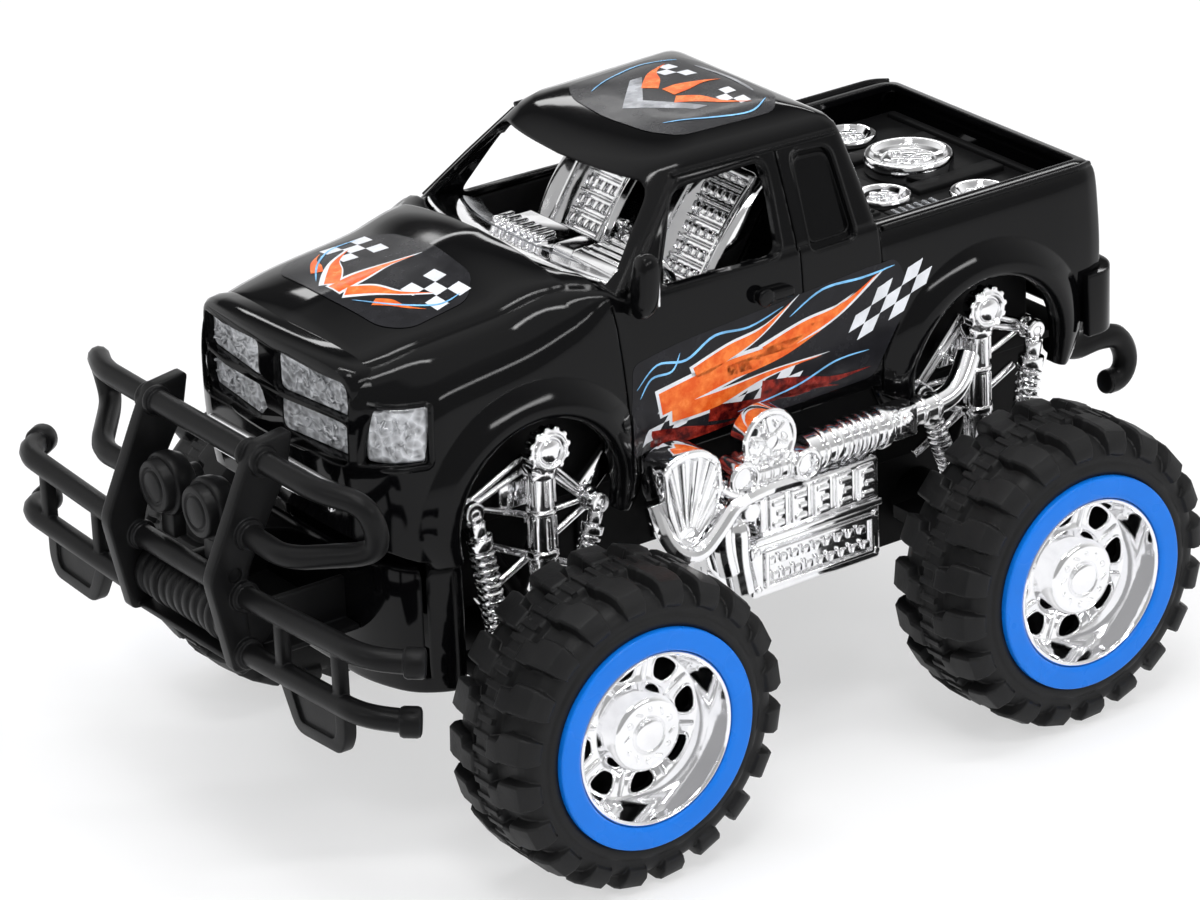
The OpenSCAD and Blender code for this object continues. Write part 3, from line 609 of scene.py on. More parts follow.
def body_solid(x0, x1, inset=0.0, drop=0.0):
    """The body between two stations as a closed shape."""
    rings = []
    count = max(2, round((x1 - x0) / STATION) + 1)
    stops = sorted(set(np.round(np.linspace(x0, x1, count), 3)) | {round(r[0],
        3) for r in BODY if x0 < r[0] < x1})
    for x in stops:
        half = half_section(float(x), inset)
        ring = [(x, -y, z) for y, z in half] + [(x, y, z) for y, z in half[-2::-1]]
        y, z = half[0]
        ring += [(x, y, z - drop), (x, -y, z - drop)] if drop else []
        rings.append(ring)
    return loft(rings)


def side_y(x, z):
    """Half width of the body's outer surface at (x, z)."""
    half = half_section(x)
    for (y0, z0), (y1, z1) in zip(half, half[1:]):
        if z0 <= z <= z1 and z1 > z0:
            return y0 + (y1 - y0) * (z - z0) / (z1 - z0)
    return half[0][0] if z < half[0][1] else half[-12][0]


def deck_z(x, y):
    """Height of the body's top at (x, y)."""
    half = half_section(x)
    for (y0, z0), (y1, z1) in zip(half[::-1], half[-2::-1]):
        if y0 <= abs(y) <= y1 and y1 > y0:
            return z0 + (z1 - z0) * (abs(y) - y0) / (y1 - y0)
    return half[0][1]


CAB_BACK = -41.0
CAB_MIDDLE = -5.0
# height, then (x, half width) from the centre of the windscreen back to the rear wall
CAB = [
    (148.0, (62.0, 0), (60.8, 20), (57.0, 38), (50.5, 49.2), (-40.8, 49.8), (-42.2, 47), (-42.2, 0)),
    (151.5, (60.2, 0), (59.0, 20), (55.2, 37.6), (48.6, 48.8), (-40.6, 49.4), (-42.0, 46.4), (-42.0, 0)),
    (164.0, (45.8, 0), (44.4, 19), (41.0, 34.5), (35.0, 43.3), (-38.4, 44.7), (-40.0, 41.8), (-40.0, 0)),
    (176.0, (31.0, 0), (29.8, 18), (27.0, 31.2), (21.5, 37.4), (-36.2, 39.8), (-37.8, 37.0), (-37.8, 0)),
    (178.2, (27.8, 0), (26.6, 17.5), (23.8, 30.6), (18.8, 36.5), (-35.4, 38.8), (-37.0, 36), (-37.0, 0)),
    (180.2, (23.6, 0), (22.4, 17), (19.6, 29.0), (15.4, 34.2), (-33.8, 36.8), (-35.4, 34), (-35.4, 0)),
    (182.0, (16.0, 0), (15.0, 15), (12.4, 25.2), (9.0, 29.0), (-30.0, 32.0), (-31.8, 29.2), (-31.8, 0)),
    (183.4, (4.5, 0), (4.0, 11), (2.2, 17.2), (0.0, 19.6), (-24.4, 22.4), (-26.0, 20.4), (-26.0, 0)),
    (183.9, (-5.5, 0), (-6.0, 5), (-6.8, 8.2), (-8.0, 9.4), (-18.4, 10.4), (-19.4, 9.2), (-19.4, 0))]


def cab_ring(row, inset=0.0):
    z, *plan = row
    corners = [(x - inset if x > CAB_MIDDLE else x + inset, max(0.0, y - inset)) for x, y in plan]
    half = softened(corners, [0, 16, 10, 4, 2.6, 2.6, 0], 6, closed=False)
    drop = inset if z > 170 else 0
    return ([(x, y, z - drop) for x, y in half] + [(x, -y, z - drop) for x, y in half[-2:0:-1]])


def cab_solid(inset=0.0):
    rows = []
    for a, b in zip(CAB, CAB[1:]):
        count = 5 if b[0] - a[0] > 8 else 2
        for k in range(count):
            t = k / count
            rows.append((a[0] + (b[0] - a[0]) * t, *[(p[0] + (q[0] - p[0]) * t, p[1] + (q[1] - p[1]) * t)
                                                     for p, q in zip(a[1:], b[1:])]))
    rows.append(CAB[-1])
    return loft([cab_ring(r, inset) for r in rows])


DOOR_WINDOW = [(34.5, 150.2), (-6.4, 149.2), (-9.2, 174.0), (21.8, 173.0)]
QUARTER = [(-17.2, 147.2), (-33.8, 147.4), (-31.8, 173.6), (-18.6, 174.2)]
BACKING = [(-15.4, 149.4), (-36.2, 149.4), (-34.2, 175.0), (-16.8, 175.2)]
ARCH = (AX + 2, SILL - 3)      # centre of the front wheel arch; the rear one mirrors it


def arch_flare(end, side):
    """Soft raised lip around a wheel arch."""
    x0, z0 = end * ARCH[0], ARCH[1]
    rings = []
    for k in range(61):
        a = radians(-16 + 212 * k / 60)
        fade = min(1.0, k / 5, (60 - k) / 5)
        ring = []
        for r, y in ((26.5, 44.5), (26.5, 53.6), (27.1, 55.0), (28.4, 55.9), (30.2, 56.0), (32.2, 55.2),
                     (34.6, 53.4), (37.4, 51.6), (39.0, 49.5), (39.0, 44.5)):
            r = 26.5 + (r - 26.5) * (0.62 + 0.38 * fade)
            x, z = x0 + end * cos(a) * r, z0 + sin(a) * r
            base = side_y(min(max(x, -AX - 48), AX + 54), z)
            grow = max(0.0, y - 49.5) / 6.5
            y = 44.5 if y == 44.5 else base - 1.5 + grow * (4.9 if end > 0 else 4.7)
            ring.append((x, side * y, z))
        rings.append(ring)
    return loft(rings)


def cab_side(x, z):
    """Half width of the cab's side at (x, z)."""
    for a, b in zip(CAB, CAB[1:]):
        if a[0] <= max(z, 148) <= b[0]:
            t = (z - a[0]) / (b[0] - a[0])
            (x0, y0), (x1, y1) = (tuple(p + (q - p) * t for p, q in zip(a[i], b[i])) for i in (4, 5))
            return y0 + (y1 - y0) * (x - x0) / (x1 - x0)


def seam_cutter(outline, width, y0=49.0, y1=57.0):
    """A thin wall along a line of (x, z), on both sides of the truck."""
    parts = []
    for (xa, za), (xb, zb) in zip(outline, outline[1:]):
        run = Vector((xb - xa, zb - za)).normalized() * 0.2
        across = Vector((run.y, -run.x)).normalized() * width / 2
        quad = [(xa - run.x + across.x, za - run.y + across.y),
                (xb + run.x + across.x, zb + run.y + across.y),
                (xb + run.x - across.x, zb + run.y - across.y),
                (xa - run.x - across.x, za - run.y - across.y)]
        parts += [prism(quad, y0, y1), prism(quad, -y1, -y0)]
    return parts


def build_body():
    wall = sizes().wall
    shell = body_solid(TAIL, NOSE)
    cab = cab_solid()
    fuse(shell, cab)
    # raised hood panel
    rise = sizes().hood_rise
    rings = []
    for k in range(38):
        x = AX - 24 + 73.5 * k / 37
        wide = smooth_table(BODY, x)[6] - 0.6 - 1.2 * max(0, k - 32) / 5
        lift = rise * min(1.0, (38 - k) / 3)
        top = []
        for j in range(-14, 15):
            y = wide * j / 14
            top.append((x, y, deck_z(x, y) + lift * (1 - abs(j / 14) ** 10) - (1.6 if abs(j) == 14 else 0)))
        rings.append(top + [(x, wide, deck_z(x, wide) - 3), (x, -wide, deck_z(x, wide) - 3)])
    fuse(shell, loft(rings))
    for end in (1, -1):
        for side in (1, -1):
            fuse(shell, arch_flare(end, side))
    # hollow: engine room, cabin, bed
    cut(shell, body_solid(-39.0, AX + 52.4, wall, 30), body_solid(-AX - 46.2, -44.5, wall, 30),
        cab_solid(wall))
    cut(shell, block((CAB_BACK + wall, -44, SILL + 30), (AX - 28, 44, SILL + 56)))
    bed = softened([(-AX - 43.6, -42.6), (-45.2, -42.6), (-45.2, 42.6), (-AX - 43.6, 42.6)], 2.5, 4)
    cut(shell, prism(bed, SILL + 20, SILL + 60, "Z"))
    for end in (1, -1):
        for side in (1, -1):
            cut(shell, rod((end * ARCH[0], side * 38, ARCH[1]), (end * ARCH[0], side * 60, ARCH[1]), 26.4,
                96))
    cut(shell, prism(softened(DOOR_WINDOW, 4), -60, 60))
    screen = [(-44.2, 156.0), (44.2, 156.0), (34.6, 175.2), (-34.6, 175.2)]
    cut(shell, prism(softened(screen, [2, 2, 5, 5]), AX - 62, AX - 17, "X"))
    # the opening in front of the cabin follows the curved foot of the windscreen
    foot = [(60.4, 0), (59.4, 18), (55.6, 35.4), (49.0, 45.0), (44.0, 46.4), (-37.8, 46.4)]
    plan = softened(foot + [(x, -y) for x, y in foot[:0:-1]], [20, 14, 10, 5, 2, 2, 2, 2, 5, 10, 14])
    cut(shell, loft([[(x, y * k, SILL + z) for x, y in plan] for z, k in ((32, 1), (49, 1), (61.5, 0.86))]))
    rear = [(-31, 153.5), (31, 153.5), (28, 173.5), (-28, 173.5)]
    cut(shell, prism(softened(rear, 4), -48, -25, "X"))
    # blind quarter windows: a recess each side that leans with the cab
    for side in (1, -1):
        outline = softened(QUARTER, 3.4)
        fuse(shell, loft([[(x, side * (cab_side(x, z) - depth), z) for x,
            z in softened(BACKING, 2)] for depth in (1.0, 3.4)]))
        cut(shell, loft([[(x, side * (cab_side(x, z) - depth), z) for x, z in outline] for depth in (1.3,
            -4.0)]))
    seam = sizes().seam
    door = [(51.0, 149.5), (49.9, 143.3), (46.4, 104.0), (45.4, 99)]
    cut(shell, *seam_cutter(door, seam), *seam_cutter([(-13.6, 149), (-13.2, 104.0), (-13.0, 99)], seam))
    cut(shell, *seam_cutter([(-41.8, 152), (-41.9, 99)], seam))
    for side in (1, -1):
        line = [(-13.0, 149.2), (-13.9, 175.6)]
        quad = [(line[0][0] - seam / 2, line[0][1]), (line[0][0] + seam / 2, line[0][1]),
                (line[1][0] + seam / 2, line[1][1]), (line[1][0] - seam / 2, line[1][1])]
        rings = [[(x, side * (cab_side(x, z) - depth), z) for x, z in quad] for depth in (0.8, -4.0)]
        cut(shell, loft(rings))
    # pockets behind the grille and the headlights
    cut(shell, prism(softened([(-36.6, 120), (36.6, 120), (36.6, 146.2), (-36.6, 146.2)], 3), AX + 44,
        AX + 60, "X"))
    for side in (1, -1):
        pocket = prism([(AX + 52, 38.8), (AX + 52, 60), (AX + 36.6, 60), (AX + 36.6, 46.4), (AX + 44, 42)],
            121.4, 136.8, "Z")
        cut(shell, moved(pocket, FLIP) if side < 0 else pocket)
    paint(shell, "body")
    extras = []
    add = kit(extras, "body")
    # ridges lying on the windscreen pillars, closing up towards the roof
    for side in (1, -1):
        for k in range(3):
            ridge = []
            for z in (152.4, 158, 164, 170, 175.4):
                x = float(np.interp(z, [r[0] for r in CAB],
                    [r[4][0] for r in CAB])) - 1.7 - k * (1.5 - (z - 152.4) / 23)
                ridge.append((x, side * (cab_side(x, z) - 0.1), z))
            add(tube(ridge, 0.62, 8))
    for side in (1, -1):
        handle = prism(softened([(3.4, 138.6), (-8.6, 138.2), (-8.8, 141.2), (3.6, 141.8)], 1.3, 4), 51.2,
            54.2, edge=0.6)
        scoop = rod((1.4, 52.6, 140.2), (1.4, 54.5, 140.2), 2.6, 28, 0.5)
        window = [(x, side * (cab_side(x, z) + 0.1), z) for x, z in softened([(35.6, 149.4), (-7.6, 148.4),
            (-10.2, 174.9), (22.0, 174.0)], 4.6)]
        recess = [(x, side * (cab_side(x, z) - 0.25), z) for x, z in softened(QUARTER, 3.4)]
        rail = [(x, side * (cab_side(x, 176.6) + 0.15), 176.6) for x in (20.4, 8, -10, -34.5)]
        add(tube(rail, 0.8, 10))
        inner = [(x * 0.86 - 3.4, side * (cab_side(x * 0.86 - 3.4, 161.4 + (z - 161.4) * 0.84) - 1.35),
                  161.4 + (z - 161.4) * 0.84)
                 for x, z in softened(QUARTER, 3.4)]
        for line, r in ((window, 0.5), (recess, 0.55), (inner, 0.35)):
            add(tube(line, r, 8, closed=True))
        for part in (handle, scoop):
            add(moved(part, FLIP) if side < 0 else part)
    # tailgate panel, latch and corner columns
    gate = prism(softened([(-31, 107), (31, 107), (31, 139), (-31, 139)], 3), -AX - 49.3, -AX - 47.4, "X",
                 0.7)
    cut(gate, prism(softened([(-25, 113), (25, 113), (25, 133), (-25, 133)], 3), -AX - 51, -AX - 48.7, "X"))
    latch = block((-AX - 50.0, -7, 126), (-AX - 48.0, 7, 130), 0.7)
    extras += [paint(gate, "body"), paint(latch, "body")]
    for side in (1, -1):
        lamp = prism(softened([(side * 34, 112), (side * 42.5, 112), (side * 42, 134), (side * 34, 134)], 2),
                     -AX - 49.2,
                     -AX - 46.8, "X", 0.7)
        add(lamp)
    # rails of the bed: a rounded bead along their outer edge
    for side in (1, -1):
        bead = tube([(-44.0, side * 48.4, SILL + 46.3), (-AX - 40.0, side * 48.3, SILL + 46.3),
                     (-AX - 45.0, side * 46.2, SILL + 45.8)], 0.9, 10, bend=4)
        add(bead)
    done(joined([shell] + extras), "body", stands_for="body_shell", angle=34)


def build_front():
    """Grille surround with its silver cells, and the headlights."""
    face = [(0, 150.4), (20, 150.0), (33, 148.4), (38.2, 144.6), (38.8, 134), (37.2, 122.5), (33.5, 118.2),
            (0, 117.6)]
    outline = softened(face + [(-y, z) for y, z in face[-2:0:-1]],
        [30, 20, 8, 6, 10, 6, 5, 30] + [5, 6, 10, 6, 8, 20], 5)
    rings = []
    for x, grow in ((AX + 40.0, -1.5), (AX + 51.0, 0.0), (AX + 54.4, -0.4), (AX + 55.6, -1.2),
        (AX + 56.0, -2.2)):
        ring = []
        for y, z in outline:
            k = 1 + grow / 39
            bow = -((y / 39) ** 2) * 4.6
            ring.append((x + bow, y * k, 134 + (z - 134) * (1 + grow / 17)))
        rings.append(ring)
    frame_piece = loft(rings)
    cells, lights = [], []
    for side in (1, -1):
        for z0, z1 in ((133.0, 144.4), (121.4, 131.4)):
            top = 0.6 if z0 > 130 else 0.0
            quad = [(side * 4.2, z0 + 0.2), (side * 35.6, z0), (side * 35.0, z1 - 1.6 * top),
                    (side * 4.2, z1)]
            hole = softened(quad, 2.6, 5)
            grown = [((y - side * 19.8) * 1.07 + side * 19.8,
                      (z - (z0 + z1) / 2) * 1.14 + (z0 + z1) / 2) for y, z in hole]
            cut(frame_piece, loft([[(AX + 47.4, y, z) for y, z in hole],
                [(AX + 53.2 - (abs(y) / 39) ** 2 * 4.6, y, z) for y, z in hole],
                                   [(AX + 58.0 - (abs(y) / 39) ** 2 * 4.6, y, z) for y, z in grown]]))
            pad = []
            for x, k in ((AX + 46.6, 1.0), (AX + 52.0, 1.0), (AX + 52.7, 0.96), (AX + 52.9, 0.9)):
                pad.append([(x - ((y / 39) ** 2) * 4.2, (y - side * 19.8) * k + side * 19.8,
                             (z - (z0 + z1) / 2) * k + (z0 + z1) / 2) for y, z in hole])
            cells.append(loft(pad))
            # crumpled facets of the lens
            rng = random.Random(round(side * 10 + z0))
            for _ in range(26):
                y = side * rng.uniform(7, 33)
                z = rng.uniform(z0 + 2, z1 - 2.4)
                x = AX + 52.5 - ((y / 39) ** 2) * 4.2
                a = rng.uniform(0, pi)
                dy, dz = cos(a) * rng.uniform(1.5, 3.6), sin(a) * rng.uniform(0.8, 2.2)
                y2, y1 = max(5.5, min(34.5, abs(y + dy))), max(5.5, min(34.5, abs(y - dy)))
                cells.append(rod((x + 0.1, side * y1, max(z0 + 1, min(z1 - 1.5, z - dz))),
                                 (x + 0.2, side * y2, max(z0 + 1, min(z1 - 1.5, z + dz))), 0.5, 6, tip=0.15))
    done(paint(frame_piece, "body"), "grille_surround")
    done(paint(joined(cells), "lens"), "grille_lenses", stands_for="grille_insert",
         angle=25)
    for side in (1, -1):
        plan = softened([(AX + 48.6, 38.6), (AX + 46.2, 43.4), (AX + 42.2, 47.2), (AX + 36.2, 49.6)],
            [0, 6, 6, 0], 6, closed=False)
        levels = softened([(0.0, 121.2), (0.9, 129), (-0.8, 137.0)], [0, 6, 0], 5, closed=False)
        front = [[(x + lean * 0.7, side * (y + lean * 0.5), z) for lean, z in levels] for x, y in plan]
        back = [[(x - 4, y - side * 2.4, z) for x, y, z in row] for row in front]
        rings = [row + back_row[::-1] for row, back_row in zip(front, back)]
        lens = bevel(loft(rings), 1.5, 4, 40)
        lights.append(lens)
        rng = random.Random(5)
        for _ in range(22):
            k = rng.uniform(0.1, 0.85) * (len(plan) - 1)
            i = int(k)
            px, py = (a + (b - a) * (k - i) for a, b in zip(plan[i], plan[i + 1]))
            z = rng.uniform(124, 134)
            a = rng.uniform(-1.2, 1.2)
            start = (px + 0.45, side * (py + 0.4), z - 1.8 * sin(a))
            end = (px + 0.55 - 1.5 * cos(a) * 0.5, side * (py + 0.5 + 1.5 * cos(a) * 0.6), z + 1.8 * sin(a))
            lights.append(rod(start, end, 0.5, 6, tip=0.15))
    done(paint(joined(lights), "lens"), "headlight_lenses", stands_for="headlights",
         angle=25)
    rims = []
    for side in (1, -1):
        plan = softened([(AX + 49.4, 37.6), (AX + 46.9, 43.6), (AX + 42.9, 47.8), (AX + 35.2, 50.6)],
            [0, 6, 6, 0], 6, closed=False)
        loop = [(x + 0.1, side * y, 120.0) for x, y in plan] + [(x - 0.6, side * (y - 0.5), 138.3) for x,
            y in plan[::-1]]
        rims.append(tube(loop, 0.95, 10, bend=2.2, closed=True))
    done(paint(joined(rims), "body"), "headlight_rims")
    apron_outline = [(-50.5, AX + 26.7), (50.5, AX + 26.7), (50.5, AX + 32), (44, AX + 41.5),
        (29, AX + 46.9), (-29, AX + 46.9),
                     (-44, AX + 41.5), (-50.5, AX + 32)]
    outline = softened([(x, y) for y, x in apron_outline], [2, 2, 5, 6, 8, 8, 6, 5], 6)
    rings = []
    for z, inset in ((50.5, 3.0), (51.2, 1.2), (53.0, 0.2), (60.0, 0.0), (86.0, 0.0), (88.2, 0.6),
        (88.9, 1.6)):
        rings.append([(AX + 26.7 + (x - AX - 26.7) * (1 - inset / 22), y * (1 - inset / 50), z) for x,
                      y in outline])
    apron = loft(rings)
    cut(apron, block((AX + 20, -47, 56), (AX + 38, 47, 95)))
    seams = [tube([(AX + 30, side * 50.7, 87), (AX + 30, side * 50.7, 54)], 0.5, 8) for side in (1, -1)]
    strip = prism(softened([(-30, 104.5), (30, 104.5), (32, 114.5), (-32, 114.5)], 2), AX + 50.0, AX + 55.6,
                  "X", 0.8)
    done(paint(joined([apron] + seams), "body"), "apron", stands_for="front_apron")
    done(paint(strip, "chrome"), "intake_strip")


def build_mirror():
    rings = []
    for t, a, b in ((-1, 0.55, 0.55), (-0.82, 0.85, 0.84), (-0.4, 1, 0.97), (0.2, 1, 1), (0.7, 0.93, 0.95),
        (1, 0.6, 0.66)):
        ring = []
        for k in range(24):
            w = 2 * pi * k / 24
            c, s = cos(w), sin(w)
            y = 55.8 + 3.5 * a * abs(c) ** 0.62 * (1 if c > 0 else -1)
            z = 155.6 + 9.2 * b * abs(s) ** 0.66 * (1 if s > 0 else -1)
            ring.append((AX - 33.0 + 3.3 * t - (z - 155) * 0.10, y, z))
        rings.append(ring)
    pod = loft(rings)
    cut(pod, block((AX - 41.5, 53.4, 148.8), (AX - 35.9, 58.2, 162.2)))
    stalk = prism(softened([(AX - 36.5, 147.0), (AX - 28.5, 147.0), (AX - 31, 152.8), (AX - 36, 152.8)],
        1.5), 50.2, 53.6, edge=0.6)
    fuse(pod, stalk)
    glass = block((AX - 36.6, 53.6, 149.2), (AX - 35.7, 58.0, 161.8), 0.3)
    done(joined([paint(pod, "body"), paint(glass, "chrome")]), "door_mirror",
         stands_for="mirror_left")


# ---- Cabin and load bed ----

SEAT_LINE = [(26, 131.5), (17.5, 132.4), (11, 135), (5.5, 140.5), (-1, 150), (-8, 161), (-11.5, 166.8)]


def along(path, share):
    """Point, direction and outward normal at a share of a path of (x, z)."""
    left = share * sum(math.dist(a, b) for a, b in zip(path, path[1:]))
    for a, b in zip(path, path[1:]):
        run = math.dist(a, b)
        if left <= run or b == path[-1]:
            d = (Vector(b) - Vector(a)).normalized()
            return Vector(a).lerp(Vector(b), left / run), d, Vector((d.y, -d.x))
        left -= run


def swell(share):
    """How far a seat's wings stand out at a share of its length."""
    return sin(pi * min(1, max(0, (share - 0.12) / 0.86))) ** 0.75


def build_seat(side):
    path = softened(SEAT_LINE, 9, 5, closed=False)
    y0 = side * 23.5
    rings = []
    for k in range(33):
        t = k / 32
        p, _, n = along(path, t)
        wing = swell(t)
        half = [(0, 0.3), (8.8, 0.3), (9.6, 1.0 + 0.8 * wing), (11.4, 1.6 + 3.0 * wing),
                (13.2, 1.4 + 5.4 * wing), (14.6 + 0.9 * wing, 1.2 + 6.4 * wing),
                (15.4 + 1.4 * wing, 0.6 + 5.6 * wing), (15.6 + 1.6 * wing, 1.6 * wing - 0.6), (15.0, -3.2)]
        ring = [(p.x + n.x * out, y0 + y, p.y + n.y * out) for y, out in half[::-1]]
        ring += [(p.x + n.x * out, y0 - y, p.y + n.y * out) for y, out in half[1:]]
        rings.append(ring)
    parts = []
    add = kit(parts, "chrome")
    add(loft(rings))
    # a raised crescent on each wing
    for edge in (1, -1):
        line = []
        for k in range(20):
            t = 0.2 + 0.74 * k / 19
            p, _, n = along(path, t)
            wing = swell(t)
            line.append((p.x + n.x * (1.5 + 3.2 * wing), y0 + edge * 11.2, p.y + n.y * (1.5 + 3.2 * wing)))
        add(tube(line, 0.8, 10))
    # quilted middle: rungs with rows of small pads between them
    rng = random.Random(11)
    for row in range(13):
        p, d, n = along(path, 0.30 + 0.66 * row / 12)
        turn = Matrix((Vector((d.x, 0, d.y)), Vector((0, -1, 0)),
            Vector((n.x, 0, n.y)))).transposed().to_4x4()
        if turn.determinant() < 0:
            turn = turn @ FLIP
        if row % 2:
            bar = block((-0.5, -8.6, 0), (0.5, 8.6, 1.7), 0.3, 1)
            add(moved(bar, Matrix.Translation((p.x, y0, p.y)) @ turn))
            continue
        for col in range(5):
            pad = block((-1.5, -1.25, 0), (1.5, 1.25, 1.4 + rng.uniform(0, 0.5)), 0.45, 2)
            add(moved(pad, Matrix.Translation((p.x, y0 + (col - 2) * 3.4, p.y)) @ turn))
    p, _, n = along(path, 0.985)
    add(rod((p.x + n.x, y0 - 10, p.y + n.y), (p.x + n.x, y0 + 10, p.y + n.y), 1.7, 20, 0.6))
    return parts


def build_cabin():
    done(joined(build_seat(1) + build_seat(-1)), "seats_moulding", stands_for="seats",
         angle=38)
    parts = []
    add = kit(parts, "chrome")
    add(block((CAB_BACK + 2.6, -47, 128), (AX - 17, 47, 130), 0.4))
    # broad smooth strip along the foot of the windscreen, and a duller one behind it
    for near, far, drop, key in ((1.2, 12.6, 0.0, "chrome"), (13.0, 20.5, 3.4, "smoke")):
        rings = []
        for k in range(41):
            y = -44.6 + 89.2 * k / 40
            a = abs(y) / 44.6
            front, top = 60.2 - 11.6 * a ** 2.2, 157.4 - 3.4 * a ** 2 - drop
            rings.append([(front - near, y, top - 3.0), (front - near, y, top - 0.5),
                          (front - near - 0.6, y, top), (front - far + 0.8, y, top - 2.6),
                          (front - far, y, top - 3.4), (front - far, y, 133), (front - near, y, 133)])
        add(loft(rings), key)
    # ribbed vents, a flat pad and the instrument hood
    for i in range(7):
        add(block((38.2, -15 + i * 3.3, 150), (45.2, -13.1 + i * 3.3, 155.6), 0.5, 2))
    add(block((30, -17, 146), (46, 9, 153.4), 1.2))
    add(block((31, 10.5, 146), (43, 22, 154.6), 1.6, 3))
    hood = block((26, 19, 144), (43.5, 42, 155.4), 2.6, 3)
    cut(hood, block((24, 21.5, 146), (29, 39.5, 153.6), 0.8))
    add(hood)
    for i in range(4):
        add(block((29 + i * 3.3, 22, 154.8), (30.6 + i * 3.3, 39, 156.2), 0.4, 1))
    for y in (26.4, 34.6):
        add(rod((29.4, y, 149.6), (28.2, y, 149.6), 3.0, 28, 0.4), "smoke")
    wheel = moved(joined([turned([(9.6 + 1.1 * cos(a),
        1.1 * sin(a)) for a in [k * pi / 5 for k in range(10)]], 40),
                          block((-9, -1, -0.7), (9, 1, 0.7), 0.3), block((-1, -9, -0.7), (1, 9, 0.7), 0.3),
                          rod((0, 0, -1), (0, 0, 1.6), 2.6, 20, 0.5)]),
                  Matrix.Translation((23.5, 30, 149)) @ Matrix.Rotation(radians(-60), 4, "Y"))
    add(wheel)
    add(prism(softened([(-8, 130), (34, 130), (34, 146), (22, 139.5), (0, 137)], 3), -7, 7, edge=1.0))
    for i in range(8):
        add(block((-4 + i * 3.2, -5.4, 137 + max(0, i - 4) * 1.2),
                  (-2.4 + i * 3.2, 5.4, 139.4 + max(0, i - 4) * 1.4), 0.4, 1))
    add(rod((14, 0, 137), (11, 0, 148), 1.0, 12, tip=0.9))
    add(rod((11, 0, 147.4), (10.4, 0, 150), 1.9, 16, 0.8))
    for side in (1, -1):
        card = block((-30, side * 47.4 - 0.8, 131), (44, side * 47.4 + 0.8, 147.5), 0.5)
        add(card, "deep")
    done(joined(parts), "cabin_moulding", stands_for="cabin_interior", angle=38)


def disc_speaker(radius, height, seed):
    """A plated disc with a rolled rim, a dished middle and crumpled lobes."""
    r, h = radius, height
    body = turned([(0, 0), (r - 0.9, 0), (r - 0.2, 0.5), (r, h * 0.55), (r, h - 0.9), (r - 0.5, h - 0.15),
        (r - 1.2, h), (r - 2.0, h - 0.2),
                   (r - 2.9, h - 1.5), (r * 0.62, h - 2.1), (r * 0.58, h - 1.5), (r * 0.5, h - 1.2),
                   (r * 0.3, h - 1.4), (0, h - 1.2)], 64)
    parts = []
    add = kit(parts, "chrome")
    add(body)
    rng = random.Random(seed)
    for k in range(5):
        a = 2 * pi * k / 5 + rng.uniform(-0.3, 0.3)
        lobe = rod((0, 0, 0), (0, 0, 1.2), r * 0.16, 18, 0.4)
        add(moved(lobe, Matrix.Translation((cos(a) * r * 0.36, sin(a) * r * 0.36, h - 1.6))))
    add(moved(rod((0, 0, 0), (0, 0, 1.6), r * 0.2, 28, 0.5), Matrix.Translation((0, 0, h - 1.5))))
    return parts


def build_bed():
    floor = SILL + 38
    parts = []
    add = kit(parts, "deep")
    add(block((-AX - 43, -42.2, floor - 2), (CAB_BACK - 4, 42.2, floor), 0.3))
    # amplifier boxes and ribs moulded in the floor panel
    boxes = (((-59, -34, 0), (-46, 34, 4.0)), ((-75, -11, 0), (-62, 11, 1.6)),
             ((-113, 12, 0), (-81, 19, 1.8)),
             ((-113, -19, 0), (-81, -12, 1.8)), ((-118, -39, 0), (-115, 39, 1.5)),
             ((-80, 26, 0), (-62, 39, 2.4)), ((-80, -39, 0), (-62, -26, 2.4)))
    for low, high in boxes:
        add(block((low[0], low[1], floor - 0.5), (high[0], high[1], floor + high[2]), 0.7))
    for i in range(9):
        for side in (1, -1):
            add(block((-57.5, side * (8 + i * 2.8) - 0.6, floor + 3.6),
                      (-47.5, side * (8 + i * 2.8) + 0.6, floor + 4.8), 0.3, 1))
    for i in range(6):
        for side in (1, -1):
            y = side * 32.5
            add(block((-78.5 + i * 2.8, y - 5, floor + 2.1), (-77.2 + i * 2.8, y + 5, floor + 3.1), 0.3, 1),
                "smoke")
    done(joined(parts), "bed_floor", stands_for="bed_panel", angle=38)
    parts = []
    for i, (x, y, r, h) in enumerate(((-15.5, 0, 13.3, 5.6), (-17, 31, 9, 2.6), (-17, -31, 9, 2.6),
        (6, 15, 8.5, 2.6), (6, -15, 8.5, 2.6))):
        for part in disc_speaker(r, h, i):
            parts.append(moved(part, Matrix.Translation((-AX + x, y, floor))))
    done(joined(parts), "speaker_discs", stands_for="bed_speakers", angle=38)


